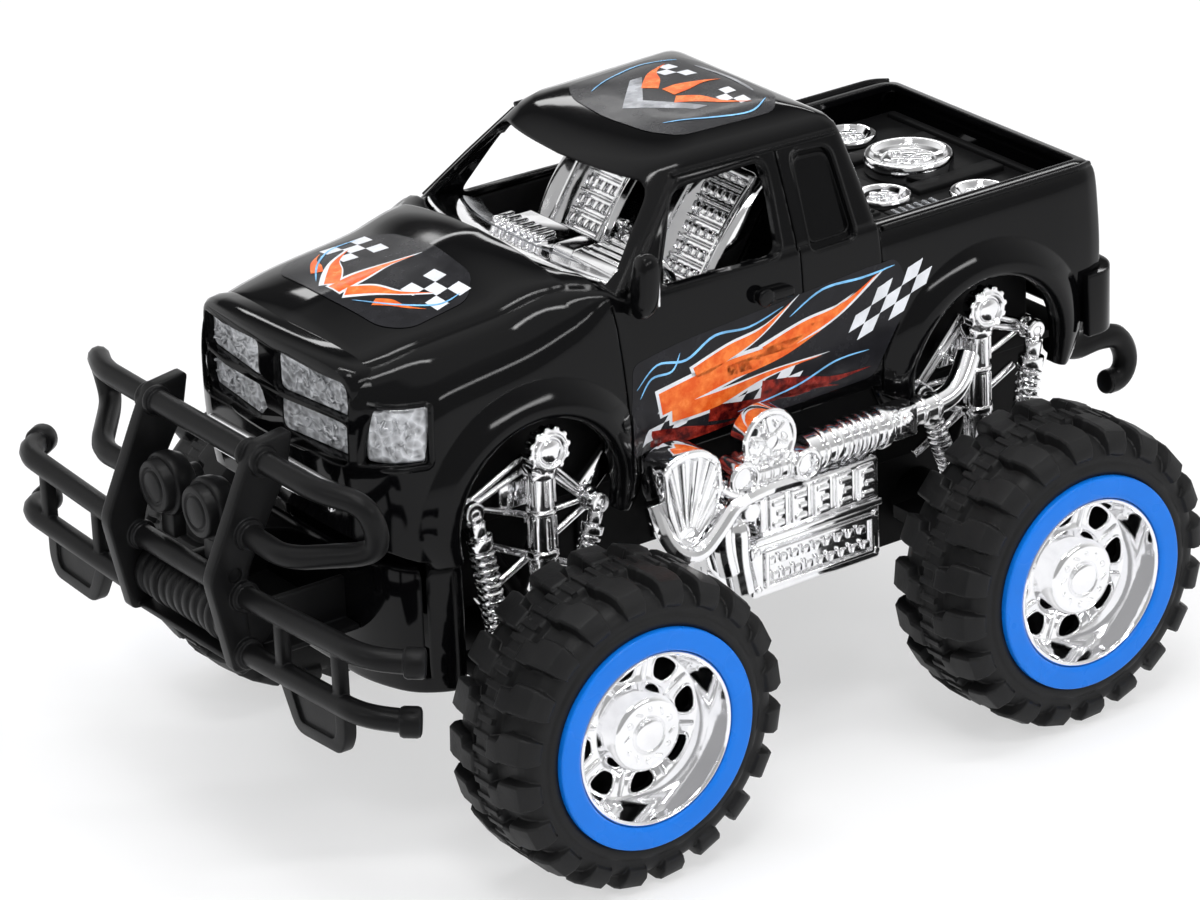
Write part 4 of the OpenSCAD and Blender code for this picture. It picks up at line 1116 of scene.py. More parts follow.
def build_rear():
    plan = [(TAIL + 10, HW + 1.5), (TAIL + 2, HW + 1.5), (TAIL - 4.1, HW - 5.5), (TAIL - 4.1, -HW + 5.5),
            (TAIL + 2, -HW - 1.5), (TAIL + 10, -HW - 1.5),
            (TAIL + 10, -HW + 1.4), (TAIL + 4.4, -HW + 1.4), (TAIL + 0.2, -HW + 6.4), (TAIL + 0.2, HW - 6.4),
            (TAIL + 4.4, HW - 1.4), (TAIL + 10, HW - 1.4)]
    outline = softened(plan, [0.6, 4, 4, 4, 4, 0.6, 0.6, 2, 2, 2, 2, 0.6], 5)
    bar = bevel(prism(outline, SILL - 4.5, SILL + 14.6, "Z"), 0.9, 3, 50)
    step = prism(softened([(-28, SILL + 0), (28, SILL + 0), (28, SILL + 9), (-28, SILL + 9)], 2), TAIL - 6,
                 TAIL - 3.1, "X")
    cut(bar, step)
    treads = [paint(block((TAIL - 3.9, -26 + i * 4.4, SILL + 14.2), (TAIL + 0.4, -24 + i * 4.4, SILL + 15.2),
        0.3, 1), "body") for i in range(13)]
    done(joined([paint(bar, "body")] + treads), "rear_bumper_bar",
         stands_for="rear_bumper")
    parts = []
    back = -AX - 74.5 + 3.7
    for side in (1, -1):
        line = [(TAIL + 6.5, 33, 88), (back + 21, 33, 83.2), (back + 11.5, 33, 84.3), (back + 4, 33, 83.2),
                (back + 0.6, 33, 77.5), (back + 0.4, 33, 72.4),
                (back + 3.2, 33, 68.9), (back + 7.6, 33, 68.9)]
        hook = tube([(x, side * y, z) for x, y, z in line], 3.7, 20, bend=3.4)
        tip = rod((back + 7.2, side * 33, 68.9), (back + 8.8, side * 33, 69.2), 3.65, 24, 1.2)
        collar = rod((TAIL + 2.2, side * 33, 86.9), (TAIL + 6.2, side * 33, 87.9), 4.6, 28, 0.6)
        parts += [paint(p, "satin") for p in (hook, tip, collar)]
    done(joined(parts), "tow_hook_pair", stands_for="tow_hooks")


# ---- Wheels ----

WHEEL_Y, WHEEL_R, HALF_W = 81.5, 46.0, 17.5
BOX_FACES = [(0, 1, 3, 2), (4, 6, 7, 5), (0, 4, 5, 1), (2, 3, 7, 6), (0, 2, 6, 4), (1, 5, 7, 3)]


def wrap(points, faces, name):
    """A shape drawn unrolled, as (distance around, across, radius), wrapped about Z."""
    return outwards(shape(name, [(r * cos(a / WHEEL_R), r * sin(a / WHEEL_R), w) for a, w, r in points],
        faces))


def tread_lug(start, low_side):
    """One lug from beside the middle rib, over the shoulder and down the side wall."""
    half = sizes().lug_width / 2
    base = WHEEL_R - sizes().lug_height
    rows = [(3.0, WHEEL_R - 0.5, base - 0.6, half * 0.66, 2.4),
            (3.6, WHEEL_R - 0.15, base - 0.6, half * 0.72, 2.4),
            (7.6, WHEEL_R - 0.1, base - 0.6, half * 0.78, 2.2),
            (8.6, WHEEL_R - 0.3, base - 0.6, half * 0.98, 0.6),
            (13.0, WHEEL_R - 0.7, base - 0.8, half, 0.1), (15.6, WHEEL_R - 1.5, base - 1.2, half * 0.97, 0.0),
            (17.6, WHEEL_R - 4.0, base - 2.4, half * 0.9, 0.0),
            (18.25, WHEEL_R - 6.4, base - 4.2, half * 0.82, 0.0),
            (18.1, WHEEL_R - 7.4, base - 5.0, half * 0.74, 0.0)]
    points, faces = [], []
    inward = 0.55
    for w, top, low, wide, shift in rows:
        ww = w if w < 16 else w - (2.4 if w > 17 else 0.8)
        for a, r, across in ((-wide - 0.5, low, ww), (-wide, top - inward, w), (-wide + inward, top, w),
            (wide - inward, top, w),
                             (wide, top - inward, w), (wide + 0.5, low, ww)):
            points.append((start + a + shift, across * low_side, r))
    n = 6
    for i in range(len(rows) - 1):
        faces += [(i * n + j, i * n + j + 1, (i + 1) * n + j + 1, (i + 1) * n + j) for j in range(n - 1)]
        faces.append((i * n + n - 1, i * n, (i + 1) * n, (i + 1) * n + n - 1))
    faces += [tuple(range(n)), tuple(range((len(rows) - 1) * n, len(rows) * n))]
    return wrap(points, faces, "lug")


def build_tyre():
    base = WHEEL_R - sizes().lug_height
    carcass = [(31.6, HALF_W - 0.6), (32.2, HALF_W + 0.1), (33.4, HALF_W + 0.5), (35.0, HALF_W + 0.3),
               (35.6, HALF_W - 0.3), (37.0, HALF_W - 0.2),
               (39.0, HALF_W - 0.8), (40.8, HALF_W - 2.4), (base, HALF_W - 5), (base + 0.3, 4.2),
               (base + 2.6, 3.3), (base + 2.8, 2.6), (base + 2.8, -2.6),
               (base + 2.6, -3.3), (base + 0.3, -4.2), (base, -HALF_W + 5), (40.8, -HALF_W + 2.4),
               (39.0, -HALF_W + 0.8), (37.0, -HALF_W + 0.2), (35.0, -HALF_W),
               (31.6, -HALF_W + 0.4), (29.0, -HALF_W + 2.6), (29.0, -HALF_W + 4.6), (38, -HALF_W + 6),
               (38, HALF_W - 6), (29.0, HALF_W - 4.6), (29.0, HALF_W - 3.6)]
    parts = [turned(softened(carcass, 0.7, 2), 120)]
    count = sizes().lugs
    pitch = 2 * pi * WHEEL_R / count
    first = {1: tread_lug(0, 1), -1: tread_lug(pitch / 2, -1)}
    for low_side, lug in first.items():
        parts += [twin(lug, Matrix.Rotation(2 * pi * k / count, 4, "Z")) for k in range(1, count)]
        parts.append(lug)
    # relief of the middle rib: cross bars and short blocks that bridge to the lugs
    bar = wrap([(a, w, r) for a in (-0.9, 0.9) for w in (-3.4, 3.4) for r in (base + 2, base + 3.5)],
               BOX_FACES, "bar")
    link = wrap([(a, w, r) for a in (-2.6, 2.4) for w in (1.6, 5.2) for r in (base - 0.5, base + 3.2)],
                BOX_FACES, "link")
    for k in range(count * 3):
        parts.append(twin(bar, Matrix.Rotation(2 * pi * k / (count * 3), 4, "Z")))
    for k in range(count):
        for low_side in (1, -1):
            turn = 2 * pi * (k + (0.22 if low_side > 0 else 0.72)) / count
            parts.append(twin(link, Matrix.Rotation(turn, 4, "Z") @ Matrix.Diagonal((1, 1, low_side, 1))))
    bpy.data.objects.remove(bar)
    bpy.data.objects.remove(link)
    return paint(joined(parts), "rubber")


def build_ring():
    face = HALF_W + 2
    return paint(turned(softened([(25.4, HALF_W - 3), (32.0, HALF_W - 3), (32.0, face - 0.2), (31.2, face),
        (26.4, face), (25.4, face - 0.7)],
                                 [0.1, 0.1, 0.6, 0.8, 0.9, 0.6], 4), 128), "ring")


def build_rim():
    profile = [(25.3, 17.2), (25.2, 18.5), (24.7, 18.9), (24.0, 18.4), (23.3, 15.2), (22.7, 11.8),
               (22.1, 9.4), (21.2, 8.0), (20.0, 7.5), (17.0, 7.4),
               (14.0, 7.7), (12.9, 8.4), (12.4, 9.6), (11.5, 12.6), (11.0, 14.1), (10.4, 14.8), (9.6, 15.1),
               (5.6, 15.15), (5.2, 14.7), (4.9, 14.7),
               (4.6, 15.5), (4.1, 15.8), (0, 15.9), (0, 4.6), (20.0, 4.6), (22.4, 6.0), (23.6, 9.0),
               (24.4, 14.0)]
    rim = turned(profile, 128)
    count = sizes().windows
    outline = softened([(14.0, -2.1), (14.0, 2.1), (16.6, 3.9), (19.2, 4.5), (20.6, 2.9), (20.9, 0),
        (20.6, -2.9), (19.2, -4.5), (16.6, -3.9)],
                       [1.4, 1.4, 2, 1.6, 1.4, 3, 1.4, 1.6, 2], 4)
    extra = []
    add = kit(extra, "chrome")
    for k in range(count):
        turn = Matrix.Rotation(2 * pi * k / count, 4, "Z")
        cut(rim, moved(prism(outline, -2, 12, "Z"), turn))
        lip = tube([(x, y, 7.45 + 0.1 * max(0, hypot(x, y) - 20)) for x, y in outline], 0.42, 8, closed=True)
        add(moved(lip, turn))
        spoke = rod((13.2, 0, 7.5), (20.6, 0, 7.7), 0.9, 10, tip=0.6)
        add(moved(spoke, turn @ Matrix.Rotation(pi / count, 4, "Z")))
    for k in range(6):
        a = 2 * pi * (k + 0.3) / 6
        mark = rod((0, 0, 0), (0, 0, 0.45), 0.85 if k % 2 else 0.6, 14, 0.18)
        add(moved(mark, Matrix.Translation((cos(a) * 7.6, sin(a) * 7.6, 15.0))))
        dash = block((-1.1, -0.28, 0), (1.1, 0.28, 0.4), 0.12, 1)
        add(moved(dash, Matrix.Rotation(a + 0.5, 4, "Z") @ Matrix.Translation((7.4, 0,
            15.0)) @ Matrix.Rotation(0.8, 4, "Z")))
    barrel = turned([(24.9, 15.0), (25.3, 15.0), (28.2, 13.0), (28.2, -15.5), (29.0, -HALF_W + 2.4),
        (29.0, -HALF_W + 0.6), (26.8, -HALF_W + 0.6),
                     (26.8, 10), (24.2, 14.2)], 96)
    dark = turned([(0, -1), (24.6, -1), (26.6, -HALF_W + 3), (26.6, -HALF_W + 4.4), (24.0, 0.6), (0, 0.6)],
                  64)
    hub = turned([(2.4, -HALF_W - 1), (7.0, -HALF_W - 1), (8.0, -HALF_W), (8.0, -2), (0, -2), (0, -5),
                  (2.4, -5)], 40)
    return joined([paint(rim, "chrome")] + extra + [paint(barrel, "chrome"), paint(dark, "deep"),
        paint(hub, "deep")])


def build_wheels():
    makers = (("tyre", build_tyre, "tyre_rubber", 26), ("ring", build_ring, "ring_blue", 35),
              ("rim", build_rim, "wheel_chrome", 34))
    for kind, maker, slot, angle in makers:
        first = maker()
        for end, x in (("f", AX), ("r", -AX)):
            for corner, side in (("l", 1), ("r", -1)):
                turn = Matrix.Rotation(radians({"fl": 7, "fr": 19, "rl": 3, "rr": 31}[end + corner]), 4, "Z")
                piece = twin(first, along_y(side, (x, side * WHEEL_Y, AXLE_Z)) @ turn)
                done(piece, f"{kind}_{end}{corner}_detailed",
                     "front_wheels" if end == "f" else "rear_wheels", f"{kind}_{end}{corner}", angle)
        bpy.data.objects.remove(first)


# ---- Chassis, shock absorbers, side engines ----

def build_chassis():
    for node, key in (("chassis", "deep"), ("floor_pan", "deep"), ("front_axle_housing", "deep"),
        ("rear_gearbox", "deep"),
                      ("front_axle", "steel"), ("rear_axle", "steel")):
        paint(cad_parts[node], key)
    # ribs and struts between the tray and the wheel wells
    parts = []
    add = parts.append
    for end in (1, -1):
        for side in (1, -1):
            x = end * AX
            add(rod((x - 14, side * 33, 92), (x + 2, side * 37, 64), 2.2, 14, 0.4))
            add(rod((x + 14, side * 33, 92), (x - 2, side * 37, 64), 2.2, 14, 0.4))
            add(rod((x, side * 12, AXLE_Z), (x, side * 36, AXLE_Z), 9.4, 32, 1.2, tip=7.8))
        for k in range(5):
            add(block((end * AX - 12 + k * 6 - 0.8, -13.4, AXLE_Z - 14.2),
                      (end * AX - 12 + k * 6 + 0.8, 13.4, AXLE_Z + 12), 0.4))
    for x in (-52, -26, 0, 26, 52):
        for side in (1, -1):
            add(block((x - 1, side * 31.2 - 0.9, 67), (x + 1, side * 31.2 + 0.9, 92.5), 0.3))
    done(paint(joined(parts), "deep"), "underside_ribs")


COILS = ((22, 56, 15, 14.7, 3.6), (-19.3, 47, -8, 15.5, 3.1))
CAP_Z = AXLE_Z + 70
STRUT_Y = 49.6


def eye(x, y, z, radius=3.2, wide=2.6):
    ring = turned([(radius * 0.42, -wide / 2), (radius - 0.5, -wide / 2), (radius, -wide / 2 + 0.5),
        (radius, wide / 2 - 0.5), (radius - 0.5, wide / 2),
                   (radius * 0.42, wide / 2)], 24)
    return moved(ring, along_y(1, (x, y, z)))


def build_coil(top, bottom, radius, y):
    """A spring over its shaft between two eyes, in the plane at y."""
    a, b = Vector((top[0], y, top[1])), Vector((bottom[0], y, bottom[1]))
    run = (a - b).length
    d = (a - b).normalized()
    across = d.cross(Vector((0, 1, 0))).normalized()
    turns = sizes().coil_turns
    path = []
    for k in range(turns * 12 + 1):
        t = k / (turns * 12)
        w = 2 * pi * turns * t
        p = b + d * run * (0.15 + 0.60 * t)
        path.append(tuple(p + across * cos(w) * radius + Vector((0, 1, 0)) * sin(w) * radius))
    at = lambda t: tuple(b + d * run * t)
    parts = [tube(path, sizes().coil_wire, 8), rod(at(0.04), at(0.8), 1.7, 16),
             rod(at(0.74), at(0.82), radius + 0.7, 28, 0.3),
             rod(at(0.82), at(0.93), radius - 0.5, 24, 0.4), rod(at(0.08), at(0.145), radius + 0.6, 28, 0.3),
             rod(at(0.88), at(0.97), 1.9, 16)]
    parts += [eye(top[0], y, top[1]), eye(bottom[0], y, bottom[1])]
    return parts


def notched_cap(x, z):
    """Round cap with notches in its edge, a ring and a domed middle."""
    r, face = 6.9, 56.0
    points = []
    for k in range(96):
        a = 2 * pi * k / 96
        deep = 0.75 if (k // 4) % 2 else 0.0
        points.append(((r - deep) * cos(a), (r - deep) * sin(a)))
    disc = bevel(prism(points, 0, 3.6, "Z"), 0.28, 2, 50)
    ring = turned([(4.2, 3.4), (5.3, 3.4), (5.3, 4.0), (5.0, 4.4), (4.5, 4.4), (4.2, 4.0)], 40)
    dome = turned([(0, 3.4), (3.4, 3.4), (3.2, 4.1), (2.2, 4.6), (0, 4.8)], 32)
    back = turned([(0, -2.4), (4.6, -2.4), (5.4, 0), (0, 0)], 32)
    return [moved(p, along_y(1, (x, face - 4.4, z))) for p in (disc, ring, dome, back)]


def build_tower(end):
    """Strut, cap and arms of a left corner; `end` is 1 in front, -1 behind."""
    x = end * AX
    y = STRUT_Y
    parts = notched_cap(x, CAP_Z)
    add = parts.append
    add(rod((x, y, AXLE_Z + 11), (x, y, CAP_Z - 3), 3.7, 32))
    for z, r, h in ((12, 4.6, 3), (24, 4.4, 1.6), (37, 4.5, 2.2), (50, 4.3, 1.4), (61, 4.7, 3.4)):
        add(rod((x, y, AXLE_Z + z), (x, y, AXLE_Z + z + h), r, 32, 0.4))
    for k in range(6):
        a = radians(20 + 64 * k)
        for z0, z1 in ((27, 36), (40, 49), (53, 60)):
            px, py = x + cos(a) * 3.7, y + sin(a) * 3.7
            add(rod((px, py, AXLE_Z + z0), (px, py, AXLE_Z + z1), 0.55, 8))
    for row in COILS:
        px, pz = x + end * row[0], AXLE_Z + row[1]
        for off, r in ((-2.2, 1.0), (1.8, 1.1)):
            add(rod((x + end * (2 if row[0] > 0 else -2), 44.5, CAP_Z - 6 + off), (px, 44.8, pz + off * 0.5),
                    r, 12))
        add(rod((x - end * row[0] * 0.1, 43.2, CAP_Z - 24), (px, 43.8, pz), 1.0, 12))
        add(rod((px, 42.5, pz), (px, 50.4, pz), 1.5, 16, 0.3))
        add(eye(px, 44.4, pz, 3.4, 3.0))
        low = (x + end * row[2], AXLE_Z + row[3])
        add(rod((low[0], 43.5, low[1]), (low[0], 50.4, low[1]), 1.5, 16, 0.3))
    # cross braces behind the strut
    add(rod((x - 19, 42.6, AXLE_Z + 44), (x + 18, 42.6, AXLE_Z + 26), 1.3, 12))
    add(rod((x + 19, 42.2, AXLE_Z + 44), (x - 18, 42.2, AXLE_Z + 26), 1.3, 12))
    add(block((x - 9, 40.6, AXLE_Z + 50), (x + 9, 43.0, AXLE_Z + 58), 0.8))
    if end > 0:
        foot = [(x - 19, AXLE_Z + 47), (x - 15, AXLE_Z + 52), (x - 26, AXLE_Z + 62), (x - 31, AXLE_Z + 58)]
        add(prism(softened(foot, 1.5), 43.0, 45.6, edge=0.5))
    return parts


def build_shocks():
    for end, mark in ((1, "f"), (-1, "r")):
        tower = paint(joined(build_tower(end)), "chrome")
        coils = []
        for row in COILS:
            x = end * AX
            coils += build_coil((x + end * row[0], AXLE_Z + row[1]), (x + end * row[2], AXLE_Z + row[3]),
                row[4] - 0.5, 49.2)
        coils = paint(joined(coils), "chrome")
        for piece, node in ((tower, "shock_tower"), (coils, "coil_shocks")):
            other = twin(piece, FLIP)
            done(piece, f"{node}_{mark}l_detailed", stands_for=f"{node}_{mark}l")
            done(other, f"{node}_{mark}r_detailed", stands_for=f"{node}_{mark}r")


FACE = HW + 13.5
FAN = [(46.4, 104.4), (43.4, 107.0), (38.5, 108.2), (32.5, 107.4), (26.8, 102.6), (26.2, 94), (29.5, 86),
       (36.5, 78.6), (41.6, 79.6), (45.6, 91)]


def engine_parts():
    z0 = AXLE_Z
    parts = []
    add = lambda *shapes: parts.extend(shapes)
    # blocks behind everything
    add(block((-30, HW - 1, z0 + 9), (28, HW + 6, z0 + 46), 1.2),
        block((-24, 32, z0 + 24), (-10, HW, z0 + 34), 0.8), block((10, 32, z0 + 24), (24, HW, z0 + 34), 0.8))
    # fan cover, a thick edge round a face with ribs that fan out
    rim = prism(softened(FAN, 2.4, 4), HW + 2.5, FACE - 0.6, edge=0.7, segments=3)
    centre = Vector((37.6, 92))
    hollow = [tuple(centre + (Vector(p) - centre) * 0.86) for p in FAN]
    cut(rim, prism(softened(hollow, 2, 4), FACE - 1.7, FACE + 2))
    add(rim)
    apex = Vector((38.5, 80.5))
    for k in range(10):
        a = radians(66 + 10.5 * k)
        end = apex + Vector((cos(a), sin(a))) * (24.6 if k < 7 else 21)
        end.x, end.y = min(44.2, max(28.4, end.x)), min(105.6, end.y)
        start = apex + Vector((cos(a), sin(a))) * 4.5
        add(rod((start.x, FACE - 1.9, start.y), (end.x, FACE - 1.5, end.y), 0.65, 8, tip=1.15))
    # pipe that loops under the fan cover and runs back
    add(tube([(46.6, HW + 8, 93), (46.2, HW + 12, 84), (42.6, HW + 14.2, 78.4), (36, HW + 14.6, 77.2),
              (29, HW + 14.2, 82.6), (22.6, HW + 13.4, 88.4),
              (12, HW + 12.4, 89.2), (-1, HW + 10.5, 87.8)], 2.5, 16, bend=4.5))
    add(tube([(30, HW + 9, 98), (25.5, HW + 12.5, 92), (20.5, HW + 13, 89.6)], 1.5, 12, bend=3))
    # round cover with a thick edge and small bosses
    add(moved(turned([(0, 0), (9.0, 0), (9.4, 0.5), (9.4, 6.4), (8.9, 7.0), (7.9, 7.1), (7.5, 6.5),
        (7.1, 6.3), (0, 6.3)], 64), along_y(1, (8.8, HW + 4.8, z0 + 56.6))))
    add(block((-0.4, HW + 4.6, z0 + 46), (18, HW + 10.8, z0 + 57), 1.2))
    for a in range(0, 360, 60):
        px, pz = 8.8 + 4.9 * cos(radians(a)), z0 + 56.6 + 4.9 * sin(radians(a))
        add(rod((px, HW + 10, pz), (px, FACE - 1.4, pz), 0.9, 12, 0.25))
    add(rod((8.8, HW + 10, z0 + 56.6), (8.8, FACE - 1.0, z0 + 56.6), 2.2, 24, 0.5))
    for a in (20, 75, 140, 200, 260, 320):
        c, s = cos(radians(a)), sin(radians(a))
        add(rod((8.8 + 2.4 * c, FACE - 2.4, z0 + 56.6 + 2.4 * s),
                (8.8 + 6.6 * c, FACE - 2.4, z0 + 56.6 + 6.6 * s), 0.5, 8))
    # bosses with dished faces, and the drum between them
    for x, z, r in ((19.2, z0 + 48.2, 5.2), (-2.8, z0 + 46.6, 4.9)):
        add(moved(turned([(0, 0), (r - 0.3, 0), (r, 0.4), (r, 8.6), (r - 0.5, 9.2), (r - 1.2, 9.3),
            (r - 1.7, 8.7), (r - 2.0, 7.2), (0, 6.6)], 48),
                  along_y(1, (x, HW + 4.6, z))))
    add(rod((16, HW + 8.6, z0 + 47.8), (0, HW + 8.6, z0 + 47), 4.4, 32, 0.4))
    for k in range(4):
        add(rod((13.2 - k * 3.1, HW + 8.6, z0 + 47.6), (12.2 - k * 3.1, HW + 8.6, z0 + 47.6), 4.9, 32, 0.3))
    for px, pz in ((14.6, 52.6), (9.4, 50.4), (4.0, 51.4), (11.8, 44.6), (5.4, 44.2)):
        add(rod((px, HW + 10, z0 + pz), (px, FACE - 0.6, z0 + pz), 1.25, 14, 0.35))
    # ribbed canister, its clamp and bolt, the exhaust behind
    y, z = HW + 8, z0 + 48
    add(rod((-5, y, z), (-38, y, z), 4.9, 40))
    for k, (x, r, w) in enumerate(((-9.2, 6.0, 1.6), (-13.4, 5.6, 2.4), (-17.4, 6.1, 1.4), (-20.6, 6.1, 1.4),
        (-23.6, 6.1, 1.4), (-26.6, 6.1, 1.4), (-30.6, 6.3, 2.6), (-33.4, 5.4, 1.2))):
        add(rod((x, y, z), (x - w, y, z), r, 40, 0.4))
    add(block((-43.4, y - 3.4, z - 4.4), (-34.4, y + 3.9, z + 5.4), 1.1),
        block((-41, y + 3, z - 2), (-36, y + 5, z + 5.8), 0.7))
    add(rod((-38.6, y + 3, z + 2.0), (-38.6, y + 5.9, z + 2.0), 2.0, 24, 0.4),
        rod((-38.6, y + 5.4, z + 2.0), (-38.6, y + 6.4, z + 2.0), 1.0, 6, 0.15))
    add(tube([(-41, y, z + 1), (-56, y + 0.4, z + 1.6), (-62.5, y - 1, z + 5), (-68, y - 4, z + 11)], 3.5,
             20, bend=7))
    for x in (-46, -51):
        add(rod((x, y + 0.2, z + 1.2), (x - 1.4, y + 0.2, z + 1.2), 4.2, 28, 0.4))
    add(block((-52, y - 6, z - 5), (-38, y - 2, z - 1), 0.8))
    # upper block: a row of moulded boxes with notches
    add(block((-29.6, HW + 4, z0 + 27.6), (12.6, HW + 11, z0 + 41), 1.2))
    for k in range(5):
        x = -27.6 + k * 7.9
        add(block((x, HW + 9.6, z0 + 29.2), (x + 6.0, FACE - 1.6, z0 + 39.6), 0.7))
        for j in range(3):
            add(block((x + 0.9, FACE - 2.2, z0 + 30.4 + j * 3.1),
                      (x + 5.1 - (1.4 if j == 1 else 0), FACE - 0.9, z0 + 31.9 + j * 3.1), 0.3, 1))
        add(rod((x + 6.9, HW + 10.4, z0 + 30), (x + 6.9, HW + 10.4, z0 + 39), 0.8, 10))
    add(block((-29.8, HW + 9, z0 + 26.3), (15, FACE - 1.2, z0 + 28.4), 0.7))
    # lower panel: raised frame with two rows of bumps
    add(block((-29.6, HW + 4, z0 + 9.4), (16.4, FACE - 2.2, z0 + 26.6), 1.4, 3))
    panel = block((-26.6, FACE - 3.2, z0 + 12), (12.4, FACE - 0.9, z0 + 24.4), 0.9, 2)
    cut(panel, block((-25.2, FACE - 1.9, z0 + 13.4), (11.0, FACE + 1, z0 + 23.0)))
    add(panel)
    rng = random.Random(3)
    for k in range(9):
        for j in range(2):
            x, z = -23.4 + k * 4.0 + (1.2 if j else 0), z0 + 15.6 + j * 4.9
            add(block((x - 1.3, FACE - 2.6, z - 1.2), (x + 1.3, FACE - 0.7 - rng.uniform(0, 0.4), z + 1.0),
                      0.5, 2))
            add(rod((x + 1.9, FACE - 2.2, z + 1.5), (x + 1.9, FACE - 1.1, z + 1.5), 0.6, 8, 0.2))
    for x in (-27.6, 14.2):
        for z in (12.4, 24.0):
            add(rod((x, FACE - 3, z0 + z), (x, FACE - 1.5, z0 + z), 1.0, 14, 0.3))
    # header pipes: rounded lumps at the front of the block
    for x, zt, zb, r in ((19.6, 33.5, 13.0, 3.5), (25.0, 36.5, 20.0, 3.2)):
        add(tube([(x, HW + 5, z0 + zt + 1), (x, FACE - 3.8, z0 + zt), (x, FACE - 3.8, z0 + (zt + zb) / 2),
                  (x - 2.2, FACE - 4.2, z0 + zb)], r, 16, bend=4))
    for x, z, r in ((16.0, 37.0, 3.4), (21.8, 40.4, 3.0), (27.4, 41.2, 2.6), (17.6, 24, 2.6)):
        add(moved(turned([(0, -3), (r - 0.4, -3), (r, -2.4), (r, 2.2), (r - 0.8, 3.2), (0, 3.5)], 28),
                  along_y(1, (x, FACE - 4.6, z0 + z))))
    add(prism(softened([(13, z0 + 10), (20, z0 + 11), (28.5, z0 + 22), (31.5, z0 + 42), (13, z0 + 44)], 2),
              HW + 2, HW + 7, edge=0.8))
    add(prism(softened([(29.5, z0 + 42), (43, z0 + 36), (44.5, z0 + 52), (36, z0 + 60), (29, z0 + 58)], 2.5),
              HW - 1.5, HW + 3.5, edge=0.8))
    return parts


def build_engine():
    left = paint(joined(engine_parts()), "chrome")
    right = twin(left, FLIP)
    done(left, "side_engine_left_detailed", stands_for="side_engine_left")
    done(right, "side_engine_right_detailed", stands_for="side_engine_right")


# ---- Front guard ----

KNEE = AX + 93.8
GUARD_Z = AXLE_Z + 48.7
PLATE = [(-29, 37.5), (-16.5, 35.8), (-12, 26.5), (0.0, 0.3), (-3, -14), (-6, -28), (-12.8, -28.6),
         (-11.2, -12), (-12.2, 0), (-21, 16), (-26.5, 25)]
LOOP = [(-19, 27.6, 31), (-19.6, 55, 30.8), (-25.5, 67.5, 30), (-28.5, 69, 21), (-28.5, 67, 14.5),
        (-12.8, 47.5, 10.8), (-13, 27.6, 11.4)]
UPPER_BAR = [(-10.3, 27.6, -6.1), (-10.6, 60, -4.6), (-10.8, 87.5, -3.1), (-21.6, 96.2, -4.6)]
LOWER_BAR = [(-10.4, 27.6, -23.1), (-10, 60, -21.5), (-9.6, 86, -20), (-20.6, 94.2, -22.2)]


